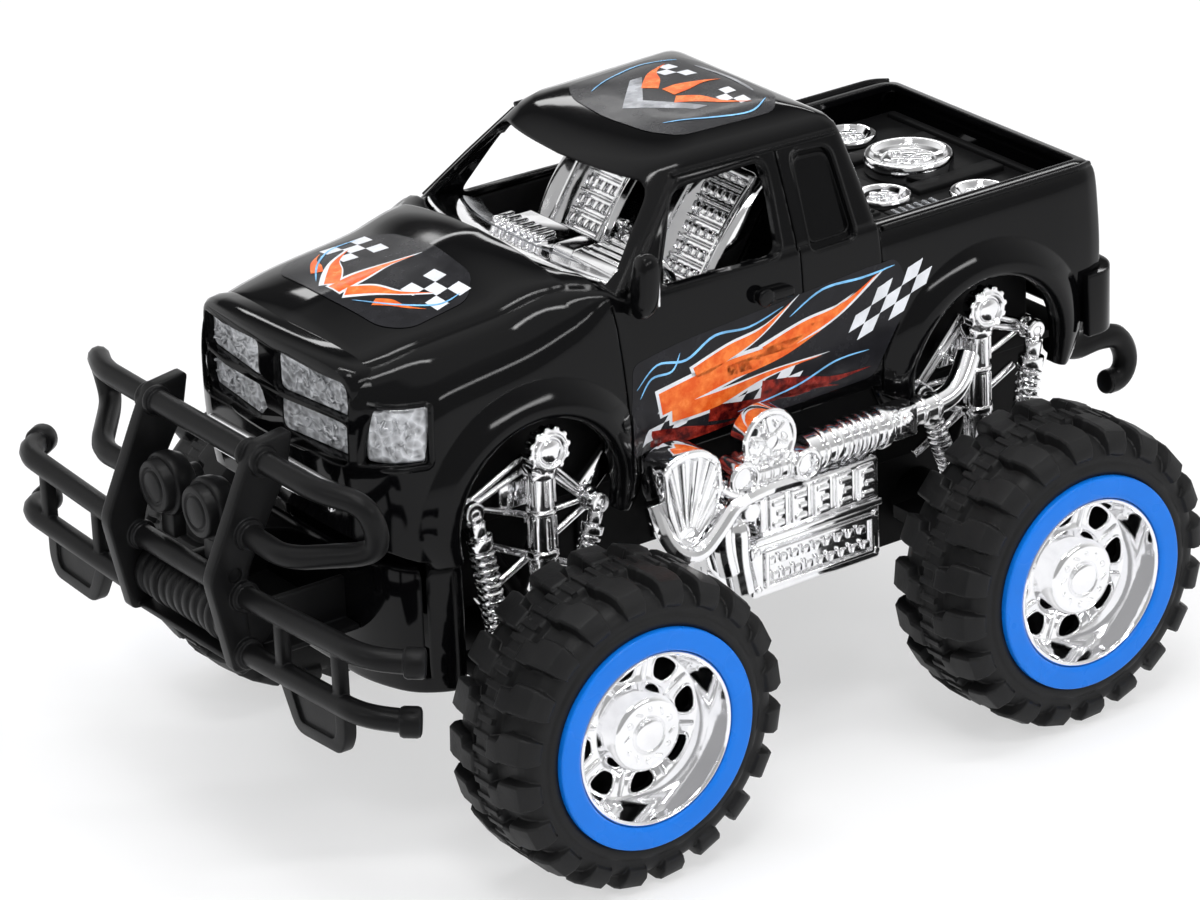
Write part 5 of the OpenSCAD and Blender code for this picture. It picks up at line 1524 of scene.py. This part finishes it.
def build_guard():
    put = lambda points: [(KNEE + x, y, GUARD_Z + z) for x, y, z in points]
    left = []
    add = left.append
    outline = softened([(KNEE + x, GUARD_Z + z) for x, z in PLATE], [2, 2.5, 3, 3, 3, 1.6, 1.6, 4, 4, 4, 3],
        4)
    plate = prism(outline, 24.2, 28.6, edge=1.1, segments=3)
    for x, z in ((-20.5, 31.5), (-8.2, 0.5), (-8.6, -22)):
        cut(plate, rod((KNEE + x, 27.4, GUARD_Z + z), (KNEE + x, 30, GUARD_Z + z), 2.2, 24))
    add(plate)
    add(tube(put(LOOP), 3.3, 20, bend=7, steps=8))
    add(tube(put(UPPER_BAR), 3.3, 20, bend=8, steps=8))
    add(tube(put(LOWER_BAR), 3.3, 20, bend=8, steps=8))
    for points in (LOOP[:1], LOOP[-1:], UPPER_BAR[:1], LOWER_BAR[:1]):
        x, y, z = put(points)[0]
        add(rod((x, y + 0.4, z), (x, y + 2.6, z), 4.5, 32, 0.7))
    for x, y, z in (put([(-20.9, 95.6, -4.5)])[0], put([(-19.9, 93.6, -22.1)])[0]):
        add(rod((x + 2.6, y - 2.0, z + 0.1), (x - 2.2, y + 1.7, z - 0.2), 4.3, 28, 1.2))
    for y in (47, 75):
        add(block((KNEE - 12.2, y - 1.9, GUARD_Z - 22), (KNEE - 8.4, y + 1.9, GUARD_Z - 4.5), 0.8))
    paddle = prism(softened([(42.5, GUARD_Z - 21), (76.5, GUARD_Z - 20), (76.5, GUARD_Z - 31.5),
        (73.5, GUARD_Z - 36.5), (52, GUARD_Z - 37.6)], [1.5, 1.5, 3, 2.5, 4], 4),
                   KNEE - 13.6, KNEE - 9.8, "X", 0.8, 3)
    inner = prism(softened([(50, GUARD_Z - 25), (72, GUARD_Z - 24.4), (72, GUARD_Z - 30.5),
        (70.5, GUARD_Z - 33), (54.5, GUARD_Z - 33.8)], 1.5, 4), KNEE - 10.6, KNEE - 8, "X")
    cut(paddle, inner)
    add(paddle)
    left = paint(joined(left), "satin")
    right = twin(left, FLIP)
    middle_bars = [rod((KNEE - 18, -24.6, GUARD_Z + 32), (KNEE - 18, 24.6, GUARD_Z + 32), 3.3, 32),
                   rod((KNEE - 10.3, -24.6, GUARD_Z - 6.1), (KNEE - 10.3, 24.6, GUARD_Z - 6.1), 3.3, 32),
                   block((AX + 46.6, -27.4, GUARD_Z - 27.8), (KNEE - 8, 27.4, GUARD_Z - 26.2), 0.4)]
    for side in (1, -1):
        for x, z in ((-18, 32), (-10.3, -6.1)):
            middle_bars.append(rod((KNEE + x, side * 22.6, GUARD_Z + z),
                (KNEE + x, side * 24.6, GUARD_Z + z), 4.3, 32, 0.6))
        middle_bars.append(block((AX + 44, side * 20 - 1.2, GUARD_Z - 27),
            (KNEE - 20, side * 20 + 1.2, GUARD_Z - 14), 0.5))
    done(joined([left, right, paint(joined(middle_bars), "satin")]), "front_guard",
         stands_for="bull_bar", angle=36)

    lamps = []
    x, z = KNEE - 10.5, GUARD_Z + 13.2
    for side in (1, -1):
        body = turned([(0, -8), (5.2, -8), (7.6, -6.6), (8.8, -4), (9.1, -1.2), (8.8, -0.2), (8.1, 0.2),
            (7.7, -0.3), (7.5, 0.1), (7.5, 2.2), (7.0, 3.0), (5.6, 3.2),
                       (5.2, 2.7), (4.6, 2.7), (4.2, 3.3), (2.6, 3.7), (0, 3.8)], 64)
        lamps.append(moved(body, Matrix.Translation((x, side * 11, z)) @ Matrix.Rotation(radians(90), 4,
            "Y")))
        lamps.append(block((x - 5, side * 11 - 3.4, GUARD_Z - 2.4), (x - 0.6, side * 11 + 3.4, z - 5), 0.8))
        lamps.append(rod((x - 7, side * 11, z), (x - 12, side * 11, z), 3.4, 24, 0.8))
    done(paint(joined(lamps), "satin"), "spot_lamp_pair", stands_for="spot_lamps",
         angle=36)

    x, z = KNEE - 14.5, GUARD_Z - 17.6
    parts = [rod((x, -23.6, z), (x, 23.6, z), 7.2, 48)]
    for y in [-22.5 + i * 4.1 for i in range(12)]:
        parts.append(rod((x, y - 1.5, z), (x, y + 1.5, z), 7.75, 48, 0.7))
    for y in (-14, 14):
        parts.append(rod((x, y - 1.2, z), (x, y + 1.2, z), 8.15, 48, 0.5))
    done(paint(joined(parts), "satin"), "winch_drum", stands_for="winch", angle=36)


# ---- Printed film on the body ----

def ribbon(points, width):
    """A line of (u, v) as a strip that narrows to both ends."""
    left, right = [], []
    for i, p in enumerate(points):
        a, b = Vector(points[max(0, i - 1)]), Vector(points[min(len(points) - 1, i + 1)])
        d = (b - a).normalized()
        k = width / 2 * max(0.12, sin(pi * i / (len(points) - 1)) ** 0.5)
        left.append((p[0] - d.y * k, p[1] + d.x * k))
        right.append((p[0] + d.y * k, p[1] - d.x * k))
    return left + right[::-1]


def swept(points, steps=6):
    """A smooth line through a few points."""
    out = []
    for i in range(len(points) - 1):
        a, b = points[max(0, i - 1)], points[i]
        c, d = points[i + 1], points[min(len(points) - 1, i + 2)]
        for k in range(steps):
            t = k / steps
            out.append(tuple(0.5 * (2 * b[j] + (c[j] - a[j]) * t
                                    + (2 * a[j] - 5 * b[j] + 4 * c[j] - d[j]) * t * t
                                    + (3 * b[j] - a[j] - 3 * c[j] + d[j]) * t ** 3) for j in (0, 1)))
    return out + [tuple(points[-1])]


def tongue(root, tip, width, hook):
    """A flame tongue: a wide root, a hooked tip."""
    a, b = Vector(root), Vector(tip)
    d = b - a
    n = Vector((-d.y, d.x)).normalized()
    upper = [a + n * width / 2, a + d * 0.3 + n * width * 0.62,
             a + d * 0.62 + n * (width * 0.3 + hook * 0.5), b]
    lower = [b, a + d * 0.66 - n * (width * 0.06 - hook * 0.4), a + d * 0.34 - n * width * 0.30,
             a - n * width / 2]
    return swept(upper) + swept(lower)[1:]


def checks(corner, across, up, columns, rows, start=0):
    """Every other cell of a slanted chequered field."""
    c, a, u = Vector(corner), Vector(across), Vector(up)
    cells = []
    for i in range(columns):
        for j in range(rows):
            if (i + j + start) % 2 == 0:
                p = c + a * i + u * j
                cells.append([tuple(p), tuple(p + a), tuple(p + a + u), tuple(p + u)])
    return cells


LIFTS = {"film": 0.06, "pale": 0.12, "grey": 0.12, "dark red": 0.14, "warm": 0.18, "blue": 0.22}
CELL = 2.6      # the prints bend at this spacing


def draped(outlines, key, way):
    """Flat outlines laid over the body: `way` is "side" for (x, z), "top" for (x, y)."""
    points, faces = [], []
    for outline in outlines:
        faces.append(tuple(range(len(points), len(points) + len(outline))))
        points += [(u, v, 0) for u, v in outline]
    obj = shape("print", points, faces)
    pick(obj)
    bpy.ops.object.mode_set(mode="EDIT")
    bpy.ops.mesh.select_all(action="SELECT")
    bpy.ops.mesh.quads_convert_to_tris()
    us, vs = [p[0] for p in points], [p[1] for p in points]
    for low, high, axis in ((min(us), max(us), (1, 0, 0)), (min(vs), max(vs), (0, 1, 0))):
        stop = math.floor(low / CELL) * CELL + CELL
        while stop < high:
            bpy.ops.mesh.select_all(action="SELECT")
            bpy.ops.mesh.bisect(plane_co=[stop * a for a in axis], plane_no=axis)
            stop += CELL
    bpy.ops.object.mode_set(mode="OBJECT")
    body = bpy.data.objects["body"].data
    to_mm = TO_FRAME.inverted()
    tree = BVHTree.FromPolygons([to_mm @ v.co for v in body.vertices],
        [tuple(p.vertices) for p in body.polygons])
    for vertex in obj.data.vertices:
        u, v, _ = vertex.co
        best = None
        for du in (-0.9, 0.0, 0.9):
            start, ray = ((u + du, 90, v), (0, -1, 0)) if way == "side" else ((u + du, v, 230), (0, 0, -1))
            hit = tree.ray_cast(Vector(start), Vector(ray))[0]
            if hit is not None:
                out = hit.y if way == "side" else hit.z
                best = out if best is None else max(best, out)
        best = (50 if way == "side" else 150) if best is None else best
        vertex.co = (u, best + LIFTS[key], v) if way == "side" else (u, v, best + LIFTS[key])
    pick(obj)
    bpy.ops.object.mode_set(mode="EDIT")
    bpy.ops.mesh.select_all(action="SELECT")
    bpy.ops.mesh.remove_doubles(threshold=0.001)
    bpy.ops.mesh.normals_make_consistent(inside=False)
    bpy.ops.object.mode_set(mode="OBJECT")
    modify(obj, "SOLIDIFY", thickness=0.06, offset=0.0)
    return paint(outwards(obj, 0.0001), key)


def build_prints():
    layers = {}

    def lay(key, way, *outlines):
        layers.setdefault(key, []).append(draped(outlines, key, way))
        if way == "side":
            layers[key].append(twin(layers[key][-1], FLIP))

    # doors and rear quarters
    lay("film", "side", softened([(48.5, 104.5), (46.8, 118), (46.0, 131.5), (30, 134.0), (-6, 136.5),
        (-34.5, 138.5), (-47.0, 138.6), (-51.5, 127.5),
                                         (-44, 115.0), (-38.5, 104.6), (-8, 103.6)], 3))
    lay("pale", "side", *checks((43.6, 106.4), (-5.2, 0.9), (-2.8, 4.2), 4, 3),
        *checks((-26.0, 116.4), (-5.6, 1.5), (-2.6, 4.6), 5, 3, 1),
        *checks((20, 108.0), (-5.0, 0.4), (-2.6, 3.4), 6, 2, 1), tongue((2, 122.4), (-43, 137.2), 7.0, 3.6),
        tongue((38, 117.5), (-31, 132.5), 9.0, 4.4), tongue((34, 113.2), (-22, 117.2), 6.6, -3.0),
        tongue((26, 123), (-12, 137.0), 6.0, 3.0))
    lay("warm", "side", tongue((1, 122.5), (-39.5, 136.0), 5.2, 3.6),
        tongue((37, 117.4), (-27.5, 131.0), 7.0, 4.4), tongue((33, 113.2), (-19, 116.8), 4.8, -3.0),
        tongue((25, 123.2), (-9, 135.6), 4.4, 3.0),
        tongue((14, 120.4), (-19, 124.6), 4.6, 2.2))
    lay("dark red", "side", tongue((40, 107.5), (6, 105.0), 5.0, 1.5),
        tongue((20, 109.8), (-16, 106.4), 5.0, -2.0), tongue((2, 112.0), (-37, 108.2), 5.4, 2.2),
        tongue((-4, 110.0), (-26, 105.4), 3.6, -1.5))
    lay("blue", "side", ribbon(swept([(45, 124), (38, 129.5), (28, 128.4), (18, 132.8), (6, 132.2),
        (-6, 135.0)]), 0.75),
        ribbon(swept([(44, 121), (40, 126.0), (33, 126.4), (30, 131.0)]), 0.65),
        ribbon(swept([(-8, 131.4), (-20, 136.4), (-34, 136.2), (-46, 136.8)]), 0.7),
        ribbon(swept([(10, 107.4), (-10, 109.6), (-24, 113.6), (-36, 113.8)]), 0.6))
    # hood
    lay("film", "top", softened([(110, -25), (104, -31), (84, -29.5), (76, -20), (74.5, 0), (76, 20),
        (84, 29.5), (104, 31), (110, 25), (112, 0)], 4))
    lay("pale", "top", *checks((82.0, 10.6), (-0.6, 5.0), (4.4, 1.0), 3, 3),
        *checks((82.6, -10.8), (-0.6, -5.0), (4.4, -1.0), 3, 3),
        tongue((107, 3.5), (88, 22.5), 6.4, -3), tongue((107, -3.5), (88, -22.5), 6.4, 3),
        tongue((108.5, 0), (79, 0.5), 7.4, 1.2))
    lay("warm", "top", tongue((106.4, 3.6), (89.4, 20.8), 4.4, -3),
        tongue((106.4, -3.6), (89.4, -20.8), 4.4, 3), tongue((108, 0), (81.6, 0.4), 5.2, 1.2),
        tongue((104.4, 14), (95.4, 26.4), 3.4, -2), tongue((104.4, -14), (95.4, -26.4), 3.4, 2))
    lay("blue", "top", ribbon(swept([(108, 9), (101, 19), (92, 26.4), (84, 25.8)]), 0.7),
        ribbon(swept([(108, -9), (101, -19), (92, -26.4), (84, -25.8)]), 0.7))
    # roof
    lay("film", "top", softened([(14, -18), (9, -27), (-22, -29), (-30, -19), (-31, 0), (-30, 19), (-22, 29),
        (9, 27), (14, 18), (16, 0)], 4))
    arrow = lambda x, w, t: [(x, 0), (x - w, 15.5), (x - w - t, 15.5), (x - t * 1.7, 0), (x - w - t, -15.5),
        (x - w, -15.5)]
    lay("grey", "top", arrow(9.5, 14, 4.2), ribbon(swept([(-26, -14), (-28, 0), (-26, 14)]), 1.6))
    lay("warm", "top", tongue((-4.5, 6), (-20.5, 20.5), 5.0, -3), tongue((-4.5, -6), (-20.5, -20.5), 5.0, 3),
        tongue((-6.5, 0), (-24.5, 0.4), 6.0, 1))
    lay("pale", "top", *checks((-22.2, 7.4), (0.4, 4.0), (3.8, 0.3), 3, 2),
        *checks((-22.2, -7.4), (0.4, -4.0), (3.8, -0.3), 3, 2))
    lay("blue", "top", ribbon(swept([(8, 17), (-4, 22.5), (-16, 25.6), (-25, 21)]), 0.7),
        ribbon(swept([(8, -17), (-4, -22.5), (-16, -25.6), (-25, -21)]), 0.7))
    for key, parts in layers.items():
        done(joined(parts), "print_" + key.replace(" ", "_"))


# ---- Stage ----

CAMERA_AT = Vector((0.84615, 1.1959, 0.7220))
CAMERA_BACK = Vector((0.5238, 0.7511, 0.4019))
CAMERA_ROLL = radians(-2.313)
LENS = 167.07


def build_stage():
    scene = bpy.context.scene
    right = Vector((0, 0, 1)).cross(CAMERA_BACK).normalized()
    back = CAMERA_BACK.normalized()
    up = back.cross(right)
    c, s = cos(CAMERA_ROLL), sin(CAMERA_ROLL)
    axes = Matrix((right * c + up * s, -right * s + up * c, back)).transposed().to_4x4()
    bpy.ops.object.camera_add()
    camera = bpy.context.object
    camera.name = "camera"
    camera.matrix_world = Matrix.Translation(CAMERA_AT) @ axes
    camera.data.lens = LENS
    camera.data.sensor_width = 36
    scene.camera = camera
    scene.view_settings.view_transform = "Standard"

    bpy.ops.mesh.primitive_grid_add(x_subdivisions=2, y_subdivisions=2, size=8, location=(0, 0, 0))
    floor = bpy.context.object
    floor.name = "floor"
    f = Finish("floor", Roughness=0.6, Specular_IOR_Level=0.0)
    f.feed(Base_Color=(0.93, 0.93, 0.94))
    path = f.node("ShaderNodeLightPath").socket.node
    camera_ray, glossy, through = (Sock(f, path.outputs[f"Is {kind} Ray"])
                                   for kind in ("Camera", "Glossy", "Transmission"))
    seen = camera_ray + glossy + through
    white = f.node("ShaderNodeEmission", None, {"Color": (1, 1, 1), "Strength": 1.0})
    paper = f.node("ShaderNodeMixShader", None, {0: seen.held() * 0.55, 1: Sock(f, f.shader.outputs[0]),
        2: white})
    f.join(f.tree.nodes["Material Output"].inputs["Surface"], paper)
    floor.data.materials.append(f.material)

    light_the_stage(scene)


def light_the_stage(scene):
    """White studio: pale all round for soft light, darker on the camera's side in reflections."""
    world = bpy.data.worlds.new("studio")
    scene.world = world
    world.use_nodes = True
    tree = world.node_tree
    tree.nodes.clear()

    def add(kind, operation=None, **inputs):
        node = tree.nodes.new(kind)
        if operation:
            node.operation = operation
        for slot, value in inputs.items():
            place = node.inputs[int(slot[1:])] if slot[1:].isdigit() else node.inputs[slot.replace("_", " ")]
            if isinstance(value, bpy.types.NodeSocket):
                tree.links.new(value, place)
            else:
                place.default_value = value
        return node

    path = add("ShaderNodeLightPath")
    ray = add("ShaderNodeTexCoord").outputs["Generated"]
    side = add("ShaderNodeVectorMath", "DOT_PRODUCT", i0=ray, i1=(0.57, 0.82, 0.0)).outputs["Value"]
    up = add("ShaderNodeSeparateXYZ", i0=ray).outputs[2]
    wall = add("ShaderNodeMapRange", Value=side, From_Min=-0.3, From_Max=0.4, To_Min=1.0,
               To_Max=0.42).outputs[0]
    behind = add("ShaderNodeMapRange", Value=side, From_Min=-0.78, From_Max=-0.5, To_Min=0.9,
                 To_Max=0.0).outputs[0]
    above = add("ShaderNodeMapRange", Value=up, From_Min=0.2, From_Max=0.34, To_Min=0.0,
                To_Max=1.0).outputs[0]
    shade = add("ShaderNodeMath", "MULTIPLY", i0=behind, i1=above).outputs[0]
    open_part = add("ShaderNodeMath", "SUBTRACT", i0=1.0, i1=shade).outputs[0]
    wall = add("ShaderNodeMath", "MULTIPLY", i0=wall, i1=open_part).outputs[0]
    roof = add("ShaderNodeMapRange", Value=up, From_Min=0.74, From_Max=0.82, To_Min=0.0,
               To_Max=0.85).outputs[0]
    room = add("ShaderNodeMath", "MAXIMUM", i0=wall, i1=roof).outputs[0]
    seen = add("ShaderNodeMath", "MAXIMUM", i0=path.outputs["Is Camera Ray"],
               i1=path.outputs["Is Transmission Ray"]).outputs[0]
    plain = add("ShaderNodeBackground", Color=(0.985, 0.99, 1.0, 1), Strength=0.8)
    mirror = add("ShaderNodeBackground", Color=(1, 1, 1, 1), Strength=room)
    white = add("ShaderNodeBackground", Color=(1, 1, 1, 1), Strength=1.0)
    lit = add("ShaderNodeMixShader", i0=path.outputs["Is Glossy Ray"], i1=plain.outputs[0],
              i2=mirror.outputs[0])
    final = add("ShaderNodeMixShader", i0=seen, i1=lit.outputs[0], i2=white.outputs[0])
    out = tree.nodes.new("ShaderNodeOutputWorld")
    tree.links.new(final.outputs[0], out.inputs["Surface"])

    for name, at, size, power in (("key softbox", (0.5, 0.75, 1.5), (0.45, 0.3), 5.5),
                                  ("overhead strip", (0.1, 0.12, 1.5), (1.0, 0.08), 7.0),
                                  ("side strip", (-0.5, 1.5, 0.9), (0.9, 0.08), 4.0),
                                  ("front strip", (1.6, 0.1, 0.9), (0.9, 0.10), 2.5),
                                  ("back strip", (-0.9, -1.3, 1.0), (1.1, 0.12), 3.0)):
        bpy.ops.object.light_add(type="AREA", location=at)
        lamp = bpy.context.object
        lamp.name = name
        lamp.data.shape = "RECTANGLE"
        lamp.data.size, lamp.data.size_y = size
        lamp.data.energy = power
        lamp.rotation_euler = (Vector((0, 0, 0.08)) - Vector(at)).to_track_quat("-Z", "Y").to_euler()


# ---- Operators, panel and start ----


class TRUCK_OT_finishes(bpy.types.Operator):
    """Makes the plastics, chrome, rubber and prints"""
    bl_idname = "truck.finishes"
    bl_label = "Finishes"

    def execute(self, context):
        finishes()
        return {"FINISHED"}


class TRUCK_OT_stage(bpy.types.Operator):
    """Floor, lights and camera"""
    bl_idname = "truck.stage"
    bl_label = "Stage"

    def execute(self, context):
        build_stage()
        return {"FINISHED"}


class TRUCK_OT_body(bpy.types.Operator):
    """Cab, hood, fenders and load bed"""
    bl_idname = "truck.body"
    bl_label = "Body"

    def execute(self, context):
        build_body()
        return {"FINISHED"}


class TRUCK_OT_front(bpy.types.Operator):
    """Grille, headlights and apron"""
    bl_idname = "truck.front"
    bl_label = "Front"

    def execute(self, context):
        build_front()
        return {"FINISHED"}


class TRUCK_OT_mirror(bpy.types.Operator):
    """Door mirror"""
    bl_idname = "truck.mirror"
    bl_label = "Mirror"

    def execute(self, context):
        build_mirror()
        return {"FINISHED"}


class TRUCK_OT_cabin(bpy.types.Operator):
    """Dash, console and seats"""
    bl_idname = "truck.cabin"
    bl_label = "Cabin"

    def execute(self, context):
        build_cabin()
        return {"FINISHED"}


class TRUCK_OT_bed(bpy.types.Operator):
    """Floor panel and speaker discs"""
    bl_idname = "truck.bed"
    bl_label = "Load bed"

    def execute(self, context):
        build_bed()
        return {"FINISHED"}


class TRUCK_OT_rear(bpy.types.Operator):
    """Bumper and tow hooks"""
    bl_idname = "truck.rear"
    bl_label = "Rear"

    def execute(self, context):
        build_rear()
        return {"FINISHED"}


class TRUCK_OT_wheels(bpy.types.Operator):
    """Tyres, rings and rims"""
    bl_idname = "truck.wheels"
    bl_label = "Wheels"

    def execute(self, context):
        build_wheels()
        return {"FINISHED"}


class TRUCK_OT_chassis(bpy.types.Operator):
    """Tray, axle housings and axle rods"""
    bl_idname = "truck.chassis"
    bl_label = "Chassis"

    def execute(self, context):
        build_chassis()
        return {"FINISHED"}


class TRUCK_OT_shocks(bpy.types.Operator):
    """Shock towers and coil springs"""
    bl_idname = "truck.shocks"
    bl_label = "Shocks"

    def execute(self, context):
        build_shocks()
        return {"FINISHED"}


class TRUCK_OT_engine(bpy.types.Operator):
    """Plated engine dressing on both sides"""
    bl_idname = "truck.engine"
    bl_label = "Side engine"

    def execute(self, context):
        build_engine()
        return {"FINISHED"}


class TRUCK_OT_guard(bpy.types.Operator):
    """Guard, spot lamps and winch"""
    bl_idname = "truck.guard"
    bl_label = "Front guard"

    def execute(self, context):
        build_guard()
        return {"FINISHED"}


class TRUCK_OT_prints(bpy.types.Operator):
    """Checks, flames and lines on the body"""
    bl_idname = "truck.prints"
    bl_label = "Prints"

    def execute(self, context):
        build_prints()
        return {"FINISHED"}


STEPS = (TRUCK_OT_finishes,
         TRUCK_OT_stage,
         TRUCK_OT_body,
         TRUCK_OT_front,
         TRUCK_OT_mirror,
         TRUCK_OT_cabin,
         TRUCK_OT_bed,
         TRUCK_OT_rear,
         TRUCK_OT_wheels,
         TRUCK_OT_chassis,
         TRUCK_OT_shocks,
         TRUCK_OT_engine,
         TRUCK_OT_guard,
         TRUCK_OT_prints,)


class TRUCK_PT_panel(bpy.types.Panel):
    """The truck's sizes, colours and steps"""
    bl_idname = "TRUCK_PT_panel"
    bl_label = "Toy truck"
    bl_space_type = "VIEW_3D"
    bl_region_type = "UI"
    bl_category = "Truck"

    def draw(self, context):
        for group in (context.scene.truck_sizes, context.scene.truck_colours):
            for key in group.__annotations__:
                self.layout.prop(group, key)
        for step in STEPS:
            self.layout.operator(step.bl_idname)


CLASSES = (TruckSizes, TruckColours, TRUCK_PT_panel) + STEPS


def register():
    for cls in CLASSES:
        bpy.utils.register_class(cls)
    bpy.types.Scene.truck_sizes = bpy.props.PointerProperty(type=TruckSizes)
    bpy.types.Scene.truck_colours = bpy.props.PointerProperty(type=TruckColours)


def unregister():
    del bpy.types.Scene.truck_colours
    del bpy.types.Scene.truck_sizes
    for cls in reversed(CLASSES):
        bpy.utils.unregister_class(cls)


def main():
    register()
    for step in STEPS:
        group, name = step.bl_idname.split(".")
        getattr(getattr(bpy.ops, group), name)()
    bpy.context.view_layer.update()


if __name__ == "__main__":
    main()
